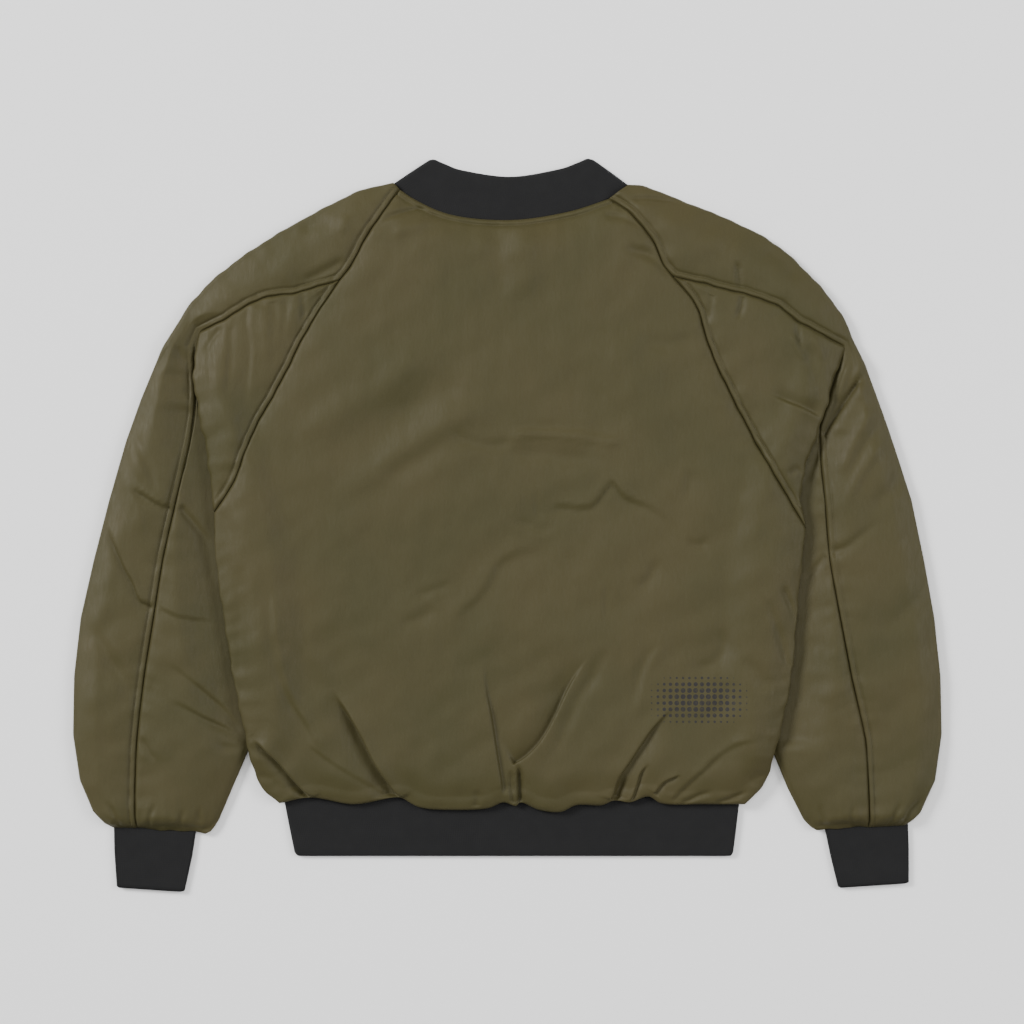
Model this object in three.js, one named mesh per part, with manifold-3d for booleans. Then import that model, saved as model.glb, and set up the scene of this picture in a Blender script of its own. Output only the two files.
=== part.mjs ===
// A padded bomber jacket with raglan sleeves, laid flat on its front with the back upwards.
// Millimetres. +X is to the right of the back view, +Y runs towards the collar, +Z is up.
// The origin is the middle of the outline, on the surface that the jacket lies on.
// Every cloth piece is a wall: an outer and an inner grid of points, joined round the rim.

import * as THREE from "three";
import Module from "manifold-3d";
import { mergeVertices } from "three/addons/utils/BufferGeometryUtils.js";

// Driving dimensions
const SEAM_GAP = 0.3; // clear distance between two panels at a seam
const LAYER_GAP = 0.6; // clear distance between two layers at an edge
const AIR_GAP = 1.6; // more air between the layers away from the edges
const EDGE_WALL = 3.4; // padded cloth pressed thin at an edge or seam
const FULL_WALL = 10.5; // padded cloth at its full loft, upper layer
const LOWER_WALL = 7.2; // padded cloth at its full loft, lower layer, pressed by the upper one
const AIR_REACH = 30; // distance from an edge at which there is that air
const BODY_REACH = 62; // distance from an edge at which the body's padding is at full loft
const SLEEVE_REACH = 45; // the same in the lower sleeve
const TUCKED_HEIGHT = 6.2; // height of the sleeve where the body lies on it
const BODY_LIFT = 6.9; // height of the body's underside there
const COVER_EDGE = 3; // the sleeve shows from this distance beyond the body's edge
const PRESSED_EDGE = 2.5; // and stays pressed a little further
const LIFT_BEYOND = 16; // it stays at that height this far past the sleeve's hidden edge
const LIFT_FALL = 35; // distance in which the body comes down to the surface again
const RIB_WALL = 2.4; // one layer of the rib knit
const RIB_TOP = 2 * RIB_WALL + LAYER_GAP;
const COLLAR_WALL = 3.1;
const HEM_HANG = 24; // the shell keeps clear of the waistband up to here above its seam
const HEM_SEAM_Y = -284; // top edge of the waistband
const CENTRE_X = 3; // centre front and centre back
const FRONT_EDGE = 8; // distance of each front's edge from the centre
const FRONT_NECK_WIDER = 1; // the front neckline reaches this much further out on the right
const ZIP = { chainHalf: 3, chainDepth: 2.2, tapeDepth: 1.1, rise: 3.1, top: 235.7, bottom: -346 };
const SLIDER = { halfWidth: 5, low: 236, high: 250, under: 2.4, over: 6.6, earDepth: 2.1 };
const PULL = { length: 30, halfWidth: 3.5, neck: 2.6, depth: 1.2, axisY: 243, axisZ: 0.8 };
const PULL_GAP = 0.3; // clearance of the tab's neck between the slider's ears
const CUFF_END_SLOPE = 0.066; // the sleeve's end runs a little down towards the body

const CLOTH = new THREE.MeshStandardMaterial({ color: 0x5a5138, roughness: 0.7, metalness: 0 });
const RIB_KNIT = new THREE.MeshStandardMaterial({ color: 0x242424, roughness: 0.9, metalness: 0 });
const ZIP_TAPE = new THREE.MeshStandardMaterial({ color: 0x1d1d1b, roughness: 0.85, metalness: 0 });
const ZIP_METAL = new THREE.MeshStandardMaterial({ color: 0x3c3c3c, roughness: 0.35, metalness: 0.9 });

// A table with named columns, a row for each section or point.
const table = (columns, ...rows) =>
  rows.map((row) => Object.fromEntries(columns.split(" ").map((name, i) => [name, row[i]])));

// Upper body: the lines of each side, from the collar outwards and down.
const LEFT = {
  name: "left",
  sign: -1,
  shoulder: table("x y", [-120, 360], [-151, 353], [-176, 342], [-218, 320]),
  upperArm: table("x y", [-218, 320], [-260, 295], [-304, 263], [-334, 232], [-344, 216]),
  upperRaglan: table("x y", [-113, 353], [-130, 329], [-151, 297], [-164, 272], [-176, 257]),
  lowerRaglan: table("x y", [-176, 257], [-209, 206], [-237, 151], [-266, 98], [-287, 44], [-307, 14]),
  sleeveSeam: table("x y", [-176, 257], [-221, 244], [-260, 237], [-291, 219], [-323, 203]),
  fold: table("x y", [-323, 203], [-329, 166], [-324, 122], [-314, 71], [-311, 44], [-307, 14]),
  bodyEdge: table("x y", [-307, 14], [-306, -25], [-295, -109], [-280, -193], [-259, -272], [-239, -291]),
  frontNeck: { x: -110, y: 319 },
  // The lower sleeve, a row for each height: outer edge, seam, inner edge.
  sleeve: table(
    "y outer seam inner",
    [210, -349, -327, -324],
    [185, -363, -329, -327],
    [132, -385, -327.5, -322],
    [90, -400, -333, -301],
    [27, -418, -347, -281],
    [-36, -434, -361, -268],
    [-99, -448, -371, -260],
    [-162, -455, -381, -259],
    [-225, -456, -388, -270],
    [-272, -449, -390, -290],
    [-304, -435, -390, -303],
    [-317, -420, -389, -312],
  ),
  tuckTop: 128, // where the lower sleeve's inner part starts
  liftTop: 203,
  cuff: table("y x0 x1", [-317.5, -414, -327], [-345, -413.5, -331], [-383.1, -411, -339]),
};
const RIGHT = {
  name: "right",
  sign: 1,
  shoulder: table("x y", [127, 358], [142, 357], [166, 348], [234, 321]),
  upperArm: table("x y", [234, 321], [282, 295], [331, 248], [354, 216], [363, 195]),
  upperRaglan: table("x y", [106, 343], [129, 327], [154, 295], [163, 274], [173, 261]),
  lowerRaglan: table("x y", [173, 261], [196, 233], [213, 182], [254, 98], [282, 48], [312, -2]),
  sleeveSeam: table("x y", [173, 261], [223, 249], [279, 232], [306, 213], [355, 187]),
  fold: table("x y", [355, 187], [341, 152], [332, 118], [314, 68], [307, 34], [312, -2]),
  bodyEdge: table("x y", [312, -2], [304, -78], [297, -158], [280, -237], [268, -272], [249, -292]),
  frontNeck: { x: 117, y: 319 },
  sleeve: table(
    "y outer seam inner",
    [195, 363, 359, 358],
    [170, 375, 349, 347.6],
    [132, 389, 336.5, 332],
    [104, 399, 328, 321],
    [68, 411, 329, 298],
    [27, 424, 333, 286],
    [-36, 437, 338, 277],
    [-99, 448, 349, 273],
    [-162, 454.5, 361, 269],
    [-225, 455.8, 375, 276],
    [-272, 449, 378, 295],
    [-304, 434, 379, 311],
    [-314, 423, 379, 319],
  ),
  tuckTop: 104,
  liftTop: 187,
  cuff: table("y x0 x1", [-314.5, 333, 421], [-345, 339, 422], [-379, 347, 422]),
};
const SIDES = [LEFT, RIGHT];

const NECKLINE = table("x y", [-113, 353], [-98, 343], [-61, 327], [3, 321], [65, 330], [106, 343]);
const FRONT_NECKLINE = table("x y", [-110, 319], [-92, 293], [-60, 271], [-28, 259], [-5, 255]);
// The shell hangs over the waistband in scallops between the gathers.
const HEM = table(
  "x y",
  [-239, -291], [-207, -285], [-161, -292], [-121, -285], [-112, -285], [-93, -295], [-56, -298],
  [-20, -296], [-4, -290], [9, -294], [13, -290], [33, -298], [56, -300], [72, -293], [99, -293],
  [112, -288], [128, -290], [148, -284], [161, -291], [207, -292], [249, -292],
);
// The rib collar, a row for each section: its seam and its free edge, behind and then in front.
const COLLAR_BACK = table(
  "seamX seamY topX topY",
  [-116, 358, -76, 381], [-98, 344.5, -66, 378], [-61, 328, -46, 373], [3, 322, 3, 366.5],
  [65, 331, 52, 374], [105, 344.5, 75, 380], [123, 356.5, 83, 382],
);
const COLLAR_FRONT = table(
  "seamX seamY topX topY",
  [2, 256.5, 2, 300], [-28, 260.5, -22, 303], [-59, 272.5, -46, 313], [-90.5, 294.5, -66, 331],
  [-108.5, 320, -76, 350], [-113, 342, -77, 368], [-116, 358, -76, 381],
);
// The waistband, folded at both ends: x of its fold at the seam and at its free edge.
const WAISTBAND = { seamLeft: -233, seamRight: 242, freeLeft: -220.5, freeRight: 234.5, freeY: -347 };
// The largest folds, a row for each: a trough or ridge from one point to another.
const FOLDS = table(
  "x0 y0 x1 y1 height width",
  [-114, -288, -172, -170, -4.2, 15],
  [-94, -286, -150, -180, 2.4, 15],
  [-208, -282, -262, -215, -3.0, 13],
  [6, -292, 10, -240, -5.5, 12],
  [8, -262, 74, -150, -3.4, 15],
  [30, -292, 92, -160, 2.6, 16],
  [-14, -278, -30, -130, -2.8, 15],
  [122, -284, 166, -196, -3.8, 14],
  [146, -282, 214, -235, -2.8, 13],
  [14, 32, 118, 44, 1.8, 14],
  [-44, 96, 128, 92, 1.4, 14],
  [-76, 176, -262, 30, 2.0, 24],
);

// Moves a number smoothly from 0 to 1.
const ease = (t) => {
  const s = THREE.MathUtils.clamp(t, 0, 1);
  return s * s * (3 - 2 * s);
};
// The rounding of a filled edge: a quarter ellipse from 0 to 1.
const puff = (t) => Math.sqrt(1 - (1 - THREE.MathUtils.clamp(t, 0, 1)) ** 2);

// One column of a table at a height y; its rows run from high to low.
function at(rows, column, y) {
  const next = rows.findIndex((row) => row.y <= y);
  if (next === 0) return rows[0][column];
  if (next < 0) return rows.at(-1)[column];
  const [a, b] = [rows[next - 1], rows[next]];
  return THREE.MathUtils.mapLinear(y, a.y, b.y, a[column], b[column]);
}

// The points of a smooth line through a table's rows, at equal steps along it.
function smoothLine(rows, steps) {
  const through = rows.map((row) => new THREE.Vector3(row.x, row.y, 0));
  const curve = new THREE.CatmullRomCurve3(through, false, "centripetal");
  return curve.getSpacedPoints(steps).map((p) => new THREE.Vector2(p.x, p.y));
}

// The same line, at given shares of its length.
function lineAt(rows, shares) {
  const through = rows.map((row) => new THREE.Vector3(row.x, row.y, 0));
  const curve = new THREE.CatmullRomCurve3(through, false, "centripetal");
  return shares.map((share) => curve.getPointAt(share)).map((p) => new THREE.Vector2(p.x, p.y));
}

// All columns of a table, at sections in between its rows.
function sectionsOf(rows, steps) {
  const names = Object.keys(rows[0]);
  return Array.from({ length: steps + 1 }, (_, i) => {
    const place = (i / steps) * (rows.length - 1);
    const k = Math.min(Math.floor(place), rows.length - 2);
    const near = [k - 1, k, k + 1, k + 2].map((n) => rows[THREE.MathUtils.clamp(n, 0, rows.length - 1)]);
    const spline = (name) => {
      const [a, b, c, d] = near.map((row) => row[name]);
      const t = place - k;
      return b + 0.5 * t * (c - a + t * (2 * a - 5 * b + 4 * c - d + t * (3 * (b - c) + d - a)));
    };
    return Object.fromEntries(names.map((name) => [name, spline(name)]));
  });
}

// A line moved sideways, to the left of its own direction where the distance is positive.
function shifted(line, distance) {
  return line.map((point, i) => {
    const along = line[Math.min(i + 1, line.length - 1)].clone().sub(line[Math.max(i - 1, 0)]).normalize();
    return new THREE.Vector2(point.x - along.y * distance, point.y + along.x * distance);
  });
}

function distanceTo(lines, x, y) {
  let least = Infinity;
  for (const line of lines) {
    for (let i = 1; i < line.length; i += 1) {
      const [a, b] = [line[i - 1], line[i]];
      const [dx, dy] = [b.x - a.x, b.y - a.y];
      const share = THREE.MathUtils.clamp(((x - a.x) * dx + (y - a.y) * dy) / (dx * dx + dy * dy), 0, 1);
      least = Math.min(least, Math.hypot(x - a.x - share * dx, y - a.y - share * dy));
    }
  }
  return least;
}

// A grid of points over four border lines: low and high run across, near and far run up.
function patch(low, high, near, far, shares = low.map((_, i) => i / (low.length - 1))) {
  const [across, up] = [low.length - 1, near.length - 1];
  return near.map((_, j) =>
    low.map((__, i) => {
      const [u, v] = [shares[i], j / up];
      const blend = (axis) =>
        (1 - v) * low[i][axis] + v * high[i][axis] + (1 - u) * near[j][axis] + u * far[j][axis] -
        (1 - u) * (1 - v) * low[0][axis] - u * (1 - v) * low[across][axis] -
        (1 - u) * v * high[0][axis] - u * v * high[across][axis];
      return new THREE.Vector2(blend("x"), blend("y"));
    }),
  );
}

// A closed wall between two grids of points with the same rows and columns.
function wall(outer, inner, { ring = false } = {}) {
  const [rows, columns] = [outer.length, outer[0].length];
  const points = [...outer.flat(), ...inner.flat()];
  const triangles = [];
  const quad = (a, b, c, d) => triangles.push(a, b, c, a, c, d);
  const out = (j, i) => j * columns + (i % columns);
  const into = (j, i) => rows * columns + out(j, i);
  const steps = ring ? columns : columns - 1;
  for (let j = 0; j < rows - 1; j += 1) {
    for (let i = 0; i < steps; i += 1) {
      quad(out(j, i), out(j, i + 1), out(j + 1, i + 1), out(j + 1, i));
      quad(into(j, i), into(j + 1, i), into(j + 1, i + 1), into(j, i + 1));
    }
    if (!ring) {
      quad(out(j, 0), out(j + 1, 0), into(j + 1, 0), into(j, 0));
      quad(out(j + 1, columns - 1), out(j, columns - 1), into(j, columns - 1), into(j + 1, columns - 1));
    }
  }
  for (let i = 0; i < steps; i += 1) {
    quad(out(0, i + 1), out(0, i), into(0, i), into(0, i + 1));
    quad(out(rows - 1, i), out(rows - 1, i + 1), into(rows - 1, i + 1), into(rows - 1, i));
  }
  const geometry = new THREE.BufferGeometry()
    .setAttribute("position", new THREE.Float32BufferAttribute(points.flatMap((p) => [p.x, p.y, p.z]), 3))
    .setIndex(triangles);
  return facingOut(geometry);
}

// Turns the faces round where a grid was wound the other way.
function facingOut(geometry) {
  const position = geometry.getAttribute("position");
  const index = Array.from(geometry.index.array);
  const [a, b, c] = [new THREE.Vector3(), new THREE.Vector3(), new THREE.Vector3()];
  let volume = 0;
  for (let i = 0; i < index.length; i += 3) {
    [a, b, c].forEach((corner, k) => corner.fromBufferAttribute(position, index[i + k]));
    volume += a.dot(b.clone().cross(c));
  }
  if (volume < 0) {
    for (let i = 0; i < index.length; i += 3) [index[i], index[i + 1]] = [index[i + 1], index[i]];
    geometry.setIndex(index);
  }
  geometry.computeVertexNormals();
  return geometry;
}

// Closed meshes joined into one.
const wasm = await Module();
wasm.setup();
function joined(geometries) {
  const solids = geometries.map((geometry) => {
    geometry.deleteAttribute("normal");
    geometry.deleteAttribute("uv");
    const merged = mergeVertices(geometry);
    const vertProperties = merged.getAttribute("position").array;
    const triVerts = new Uint32Array(merged.index.array);
    return new wasm.Manifold(new wasm.Mesh({ numProp: 3, vertProperties, triVerts }));
  });
  const mesh = solids.reduce((whole, solid) => whole.add(solid)).getMesh();
  const geometry = new THREE.BufferGeometry()
    .setAttribute("position", new THREE.BufferAttribute(mesh.vertProperties, 3))
    .setIndex(new THREE.BufferAttribute(mesh.triVerts, 1));
  geometry.computeVertexNormals();
  return geometry;
}

const raised = (grid, height) =>
  grid.map((row) => row.map((p) => new THREE.Vector3(p.x, p.y, height(p.x, p.y))));

const jacket = new THREE.Group();
function add(name, geometry, material) {
  const mesh = new THREE.Mesh(geometry, material);
  mesh.name = name;
  jacket.add(mesh);
}

// The lines that the padding is pressed along: the outline of the upper layer, and its seams.
const STEPS = { upperRaglan: 4, lowerRaglan: 8, sleeveSeam: 8, bodyEdge: 11, fold: 8 };
for (const side of SIDES) {
  side.lines = Object.fromEntries(
    Object.entries(STEPS).map(([name, steps]) => [name, smoothLine(side[name], steps)]),
  );
  side.lines.shoulder = smoothLine(side.shoulder, STEPS.upperRaglan);
  side.lines.upperArm = smoothLine(side.upperArm, STEPS.sleeveSeam);
  side.lines.crease = [side.lines.upperArm.at(-1), side.lines.fold[0]];
  side.lines.outerEdge = side.sleeve.map((row) => new THREE.Vector2(row.outer, row.y));
}
const NECK_STEPS = 12;
const HEM_STEPS = 60;
const OUTLINE = [
  smoothLine(NECKLINE, NECK_STEPS),
  smoothLine(HEM, HEM_STEPS),
  ...SIDES.flatMap(({ lines }) => [lines.shoulder, lines.upperArm, lines.crease, lines.fold, lines.bodyEdge]),
];
const SEAMS = SIDES.flatMap(({ lines }) => [lines.upperRaglan, lines.lowerRaglan, lines.sleeveSeam]);

// The edge of what lies on a sleeve at a height y: the fold, and below it the body's edge.
function coverAt(side, y) {
  const edge = [...side.lines.fold, ...side.lines.bodyEdge.slice(1)];
  return at(edge, "x", y);
}

// How far the body is lifted where it lies on a sleeve's inner edge.
function liftAt(x, y) {
  const lifts = SIDES.map((side) => {
    const cover = coverAt(side, y);
    const overlap = (cover - at(side.sleeve, "inner", y)) * side.sign;
    const inside = (cover - x) * side.sign;
    const starts = ease((side.liftTop - y) / 55);
    const ends = ease((y + 275) / 35);
    return BODY_LIFT * starts * ends * (1 - ease((inside - overlap - LIFT_BEYOND) / LIFT_FALL));
  });
  return Math.max(...lifts);
}

// The upper layer's folds, faded at their ends.
function foldsAt(x, y) {
  return FOLDS.reduce((sum, fold) => {
    const [dx, dy] = [fold.x1 - fold.x0, fold.y1 - fold.y0];
    const share = THREE.MathUtils.clamp(
      ((x - fold.x0) * dx + (y - fold.y0) * dy) / (dx * dx + dy * dy), 0, 1,
    );
    const off = Math.hypot(x - fold.x0 - share * dx, y - fold.y0 - share * dy) / fold.width;
    return sum + fold.height * (1 - ease(share)) * Math.exp(-off * off);
  }, 0);
}

// Heights in the body and the upper sleeves.
const body = {
  bottom: liftAt,
  middle: (x, y) =>
    liftAt(x, y) + EDGE_WALL + (LOWER_WALL - EDGE_WALL) * ease(distanceTo(OUTLINE, x, y) / BODY_REACH),
  lining(x, y) {
    const air = LAYER_GAP + AIR_GAP * ease(distanceTo(OUTLINE, x, y) / AIR_REACH);
    const overRib = (RIB_TOP + LAYER_GAP) * (1 - ease((y - HEM_SEAM_Y - HEM_HANG) / HEM_HANG));
    return Math.max(body.middle(x, y) + air, overRib);
  },
  top(x, y) {
    const away = Math.min(distanceTo(OUTLINE, x, y), distanceTo(SEAMS, x, y));
    const loft = EDGE_WALL + (FULL_WALL - EDGE_WALL) * puff(away / BODY_REACH);
    return body.lining(x, y) + loft + foldsAt(x, y) * ease(away / 8 + 0.5);
  },
};

// The inner edge of what shows of a lower sleeve.
function innerShown(side, y) {
  const cover = side.sign * coverAt(side, y) + COVER_EDGE;
  return side.sign * Math.max(cover, side.sign * at(side.sleeve, "inner", y));
}

// Heights in a lower sleeve, which is pressed flat where the body lies on it.
function sleeveHeights(side) {
  const seam = side.sleeve.map((row) => new THREE.Vector2(row.seam, row.y));
  const end = side.sleeve.at(-1).y;
  const away = (x, y) =>
    Math.min(
      (x - innerShown(side, y)) * side.sign - PRESSED_EDGE,
      (at(side.sleeve, "outer", y) - x) * side.sign,
      1.5 * (y - end),
      Math.abs(y - side.sleeve[0].y) + 6,
    );
  const middle = (x, y) => 2.9 + 4.9 * ease(away(x, y) / SLEEVE_REACH);
  const lining = (x, y) => middle(x, y) + LAYER_GAP;
  const top = (x, y) => {
    const fromSeam = Math.min(away(x, y), distanceTo([seam], x, y) + 5);
    const thin = TUCKED_HEIGHT - 2.9 - LAYER_GAP;
    return lining(x, y) + thin + (FULL_WALL - thin) * puff(fromSeam / SLEEVE_REACH);
  };
  return { bottom: () => 0, middle, lining, top };
}

// The body: shares across half of it, closer together near its side where it lies on the sleeve.
const HALF = [
  0, 0.035, 0.075, 0.12, 0.17, 0.22, 0.275, 0.33, 0.385, 0.44, 0.495, 0.55, 0.605, 0.66, 0.715, 0.77,
  0.83, 0.885, 0.945, 1,
];
const ACROSS = [...HALF.map((s) => s / 2), ...HALF.slice(0, -1).reverse().map((s) => 1 - s / 2)];
const FRONT_HALF = [0, 0.035, 0.075, 0.12, 0.17, 0.22, 0.28, 0.45, 0.72, 1];

// A body panel's side, from the hem up to the neckline.
function bodySide({ lines, sign }) {
  const toBody = (-sign * SEAM_GAP) / 2;
  const raglan = shifted([...lines.upperRaglan, ...lines.lowerRaglan.slice(1)], toBody);
  return [...raglan, ...lines.bodyEdge.slice(1)].reverse();
}

function addBack() {
  const hem = lineAt(HEM, ACROSS);
  const neck = shifted(lineAt(NECKLINE, ACROSS), -SEAM_GAP / 2);
  const grid = patch(hem, neck, bodySide(LEFT), bodySide(RIGHT), ACROSS);
  add("back", wall(raised(grid, body.top), raised(grid, body.lining)), CLOTH);
}

// The front neckline and the front of the collar are drawn on the left and mirrored to the right.
const acrossCentre = (x) => 2 * CENTRE_X + FRONT_NECK_WIDER - x;

function addFront(side) {
  const { lines, sign, frontNeck } = side;
  const bottom = HEM_SEAM_Y + SEAM_GAP;
  const edge = CENTRE_X + sign * FRONT_EDGE;
  const corner = new THREE.Vector2(frontNeck.x, frontNeck.y);
  const lowerSide = bodySide(side).slice(0, -STEPS.upperRaglan);
  lowerSide.forEach((point) => (point.y = Math.max(point.y, bottom)));
  const upperSide = lines.upperRaglan.slice(1).map((_, i) =>
    lowerSide.at(-1).clone().lerp(corner, (i + 1) / STEPS.upperRaglan),
  );
  const outerSide = [...lowerSide, ...upperSide];
  const neck = lineAt(FRONT_NECKLINE, FRONT_HALF);
  if (sign > 0) neck.forEach((point) => (point.x = acrossCentre(point.x)));
  const hemStart = outerSide[0].x;
  const hem = FRONT_HALF.map((share) => new THREE.Vector2(hemStart + share * (edge - hemStart), bottom));
  const centreLine = outerSide.map((_, i) => {
    const share = i / (outerSide.length - 1);
    return new THREE.Vector2(edge, THREE.MathUtils.lerp(bottom, neck.at(-1).y, share));
  });
  const grid = patch(hem, neck, outerSide, centreLine, FRONT_HALF);
  add("front_" + side.name, wall(raised(grid, body.middle), raised(grid, body.bottom)), CLOTH);
}

// The outer sleeve panel: from the back seam, round the folded edge, to the front seam.
function addOuterSleeve(side) {
  const heights = sleeveHeights(side);
  const away = (side.sign * SEAM_GAP) / 2;
  const { lines } = side;
  const upperSeam = shifted([...lines.upperRaglan, ...lines.sleeveSeam.slice(1)], away);
  const upperEdge = [...lines.shoulder, ...lines.upperArm.slice(1)];
  const frontSeam = upperSeam.map((point, i) => {
    if (i >= STEPS.upperRaglan) return point;
    const start = new THREE.Vector2(side.frontNeck.x + side.sign * SEAM_GAP, side.frontNeck.y);
    return start.lerp(upperSeam[STEPS.upperRaglan], i / STEPS.upperRaglan);
  });
  const upper = upperSeam.map((seam, i) => ({ seam, edge: upperEdge[i], under: frontSeam[i], in: body }));
  const lower = lowerRows(side, side.liftTop - 12, 17).map((row) => {
    const seam = slanted(side, row.seam + side.sign * SEAM_GAP * 0.6, row.y);
    const fromFold = side.sign * coverAt(side, row.y) + 1.5 * SEAM_GAP;
    if (row.y > side.tuckTop) seam.x = side.sign * Math.max(side.sign * seam.x, fromFold);
    return { seam, edge: slanted(side, row.outer, row.y), under: seam, in: heights };
  });
  const shares = [0, 0.12, 0.38, 0.72, 1];
  const turns = [45, 90, 135].map(THREE.MathUtils.degToRad);
  const outer = [];
  const inner = [];
  for (const { seam, edge, under, in: z } of [...upper, ...lower]) {
    const rim = z.top(edge.x, edge.y) / 2;
    const outwards = edge.clone().sub(seam).normalize();
    const axis = edge.clone().addScaledVector(outwards, -rim);
    const above = shares.map((s) => seam.clone().lerp(axis, s));
    const below = [0, 0.3, 0.7, 1].map((s) => axis.clone().lerp(under, s));
    const rounded = (radius, height) =>
      turns.map((a) => new THREE.Vector3(
        axis.x + outwards.x * radius * Math.sin(a),
        axis.y + outwards.y * radius * Math.sin(a),
        height + radius * Math.cos(a),
      ));
    const atTop = (p) => new THREE.Vector3(p.x, p.y, z.top(p.x, p.y));
    const atLining = (p) => new THREE.Vector3(p.x, p.y, z.lining(p.x, p.y));
    const atMiddle = (p) => new THREE.Vector3(p.x, p.y, z.middle(p.x, p.y));
    const onFloor = (p) => new THREE.Vector3(p.x, p.y, 0);
    const slit = (z.lining(axis.x, axis.y) + z.middle(axis.x, axis.y)) / 2;
    outer.push([...above.map(atTop), ...rounded(rim, rim), ...below.map(onFloor)]);
    inner.push([...above.map(atLining), ...rounded(LAYER_GAP / 2, slit), ...below.map(atMiddle)]);
  }
  add("sleeve_outer_" + side.name, wall(outer, inner), CLOTH);
}

// Rows of the lower sleeve's table at equal steps from a height down to the cuff.
function lowerRows(side, from, steps) {
  const end = side.sleeve.at(-1).y;
  return Array.from({ length: steps + 1 }, (_, i) => {
    const y = THREE.MathUtils.lerp(from, end, i / steps);
    const columns = ["outer", "seam", "inner"].map((name) => [name, at(side.sleeve, name, y)]);
    return { y, ...Object.fromEntries(columns) };
  });
}

// A point of the lower sleeve, with the slope of the sleeve's end worked in towards the cuff.
function slanted(side, x, y) {
  const middle = (at(side.sleeve, "outer", y) + at(side.sleeve, "inner", y)) / 2;
  const share = ease((100 - y) / 400);
  return new THREE.Vector2(x, y + side.sign * CUFF_END_SLOPE * share * (x - middle));
}

// The under-sleeve's upper stretch, a triangle between the sleeve seam, the raglan seam and the fold.
function addUpperUnderSleeves(side) {
  const inside = (side.sign * SEAM_GAP) / 2;
  const { lines } = side;
  const tip = 0.035;
  const seam = shifted(lines.sleeveSeam, -inside).reverse();
  const raglan = shifted(lines.lowerRaglan, inside).reverse();
  seam[seam.length - 1].lerp(seam.at(-2), tip * seam.length);
  raglan[raglan.length - 1].lerp(raglan.at(-2), tip * raglan.length);
  const fold = lines.fold.map((p) => p.clone());
  fold[0] = seam[0];
  fold[fold.length - 1] = raglan[0];
  const point = fold.map((_, i) => seam.at(-1).clone().lerp(raglan.at(-1), i / (fold.length - 1)));
  const grid = patch(fold, point, seam, raglan);
  add("sleeve_back_upper_" + side.name, wall(raised(grid, body.top), raised(grid, body.lining)), CLOTH);
  add("sleeve_front_upper_" + side.name, wall(raised(grid, body.middle), raised(grid, body.bottom)), CLOTH);
}

// Its lower stretch, from where it comes out of the fold down to the cuff.
const LEAST_SHOWN = 0.25; // the share of its width at which its covered strip starts, near the fold
const MOST_SHOWN = 0.97; // and where nothing lies on it
function addLowerUnderSleeves(side) {
  const heights = sleeveHeights(side);
  const grid = lowerRows(side, side.tuckTop, 15).map((row) => {
    const seam = row.seam - side.sign * SEAM_GAP * 0.6;
    const share = (innerShown(side, row.y) - seam) / (row.inner - seam);
    const shown = THREE.MathUtils.clamp(share, LEAST_SHOWN, MOST_SHOWN);
    return [0, 0.15 * shown, 0.42 * shown, 0.74 * shown, shown, 1].map((place) =>
      slanted(side, THREE.MathUtils.lerp(seam, row.inner, place), row.y),
    );
  });
  const { bottom, middle, lining, top } = heights;
  add("sleeve_back_lower_" + side.name, wall(raised(grid, top), raised(grid, lining)), CLOTH);
  add("sleeve_front_lower_" + side.name, wall(raised(grid, middle), raised(grid, bottom)), CLOTH);
}

// A knitted band that runs in front, turns over at each fold and runs on behind.
function band(stations, thickness) {
  const shares = [0, 0.5, 1];
  const middleRadius = (thickness + LAYER_GAP) / 2;
  const axisZ = thickness + LAYER_GAP / 2;
  const surface = (radius) =>
    stations.map(({ seam, free, outwards, angle }) =>
      shares.map((share) => {
        const base = seam.clone().lerp(free, share);
        return new THREE.Vector3(
          base.x + outwards.x * radius * Math.sin(angle),
          base.y + outwards.y * radius * Math.sin(angle),
          axisZ - radius * Math.cos(angle),
        );
      }),
    );
  return wall(surface(middleRadius + thickness / 2), surface(middleRadius - thickness / 2));
}

const TURNS = [0.25, 0.5, 0.75].map((share) => share * Math.PI);

function station(row, angle, outwards = new THREE.Vector2()) {
  const seam = new THREE.Vector2(row.seamX, row.seamY);
  return { seam, free: new THREE.Vector2(row.topX, row.topY), angle, outwards };
}

// The stations of one fold, turning from the front to the back or the other way.
function turned(row, sign, angles) {
  const { seam, free } = station(row, 0);
  const along = free.clone().sub(seam).normalize();
  const outwards = new THREE.Vector2(-along.y, along.x);
  if (outwards.x * sign < 0) outwards.negate();
  return angles.map((angle) => station(row, angle, outwards));
}

function addCollar() {
  const mirror = (row) => ({ ...row, seamX: acrossCentre(row.seamX), topX: acrossCentre(row.topX) });
  const frontLeft = sectionsOf(COLLAR_FRONT, 10);
  const back = sectionsOf(COLLAR_BACK, 16);
  const rightRows = COLLAR_FRONT.map(mirror);
  rightRows[rightRows.length - 1] = COLLAR_BACK.at(-1);
  const frontRight = sectionsOf(rightRows, 10).reverse();
  const stations = [
    ...frontLeft.map((row) => station(row, 0)),
    ...turned(back[0], -1, TURNS),
    ...back.map((row) => station(row, Math.PI)),
    ...turned(back.at(-1), 1, [...TURNS].reverse()),
    ...frontRight.map((row) => station(row, 0)),
  ];
  add("collar", band(stations, COLLAR_WALL), RIB_KNIT);
}

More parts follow.
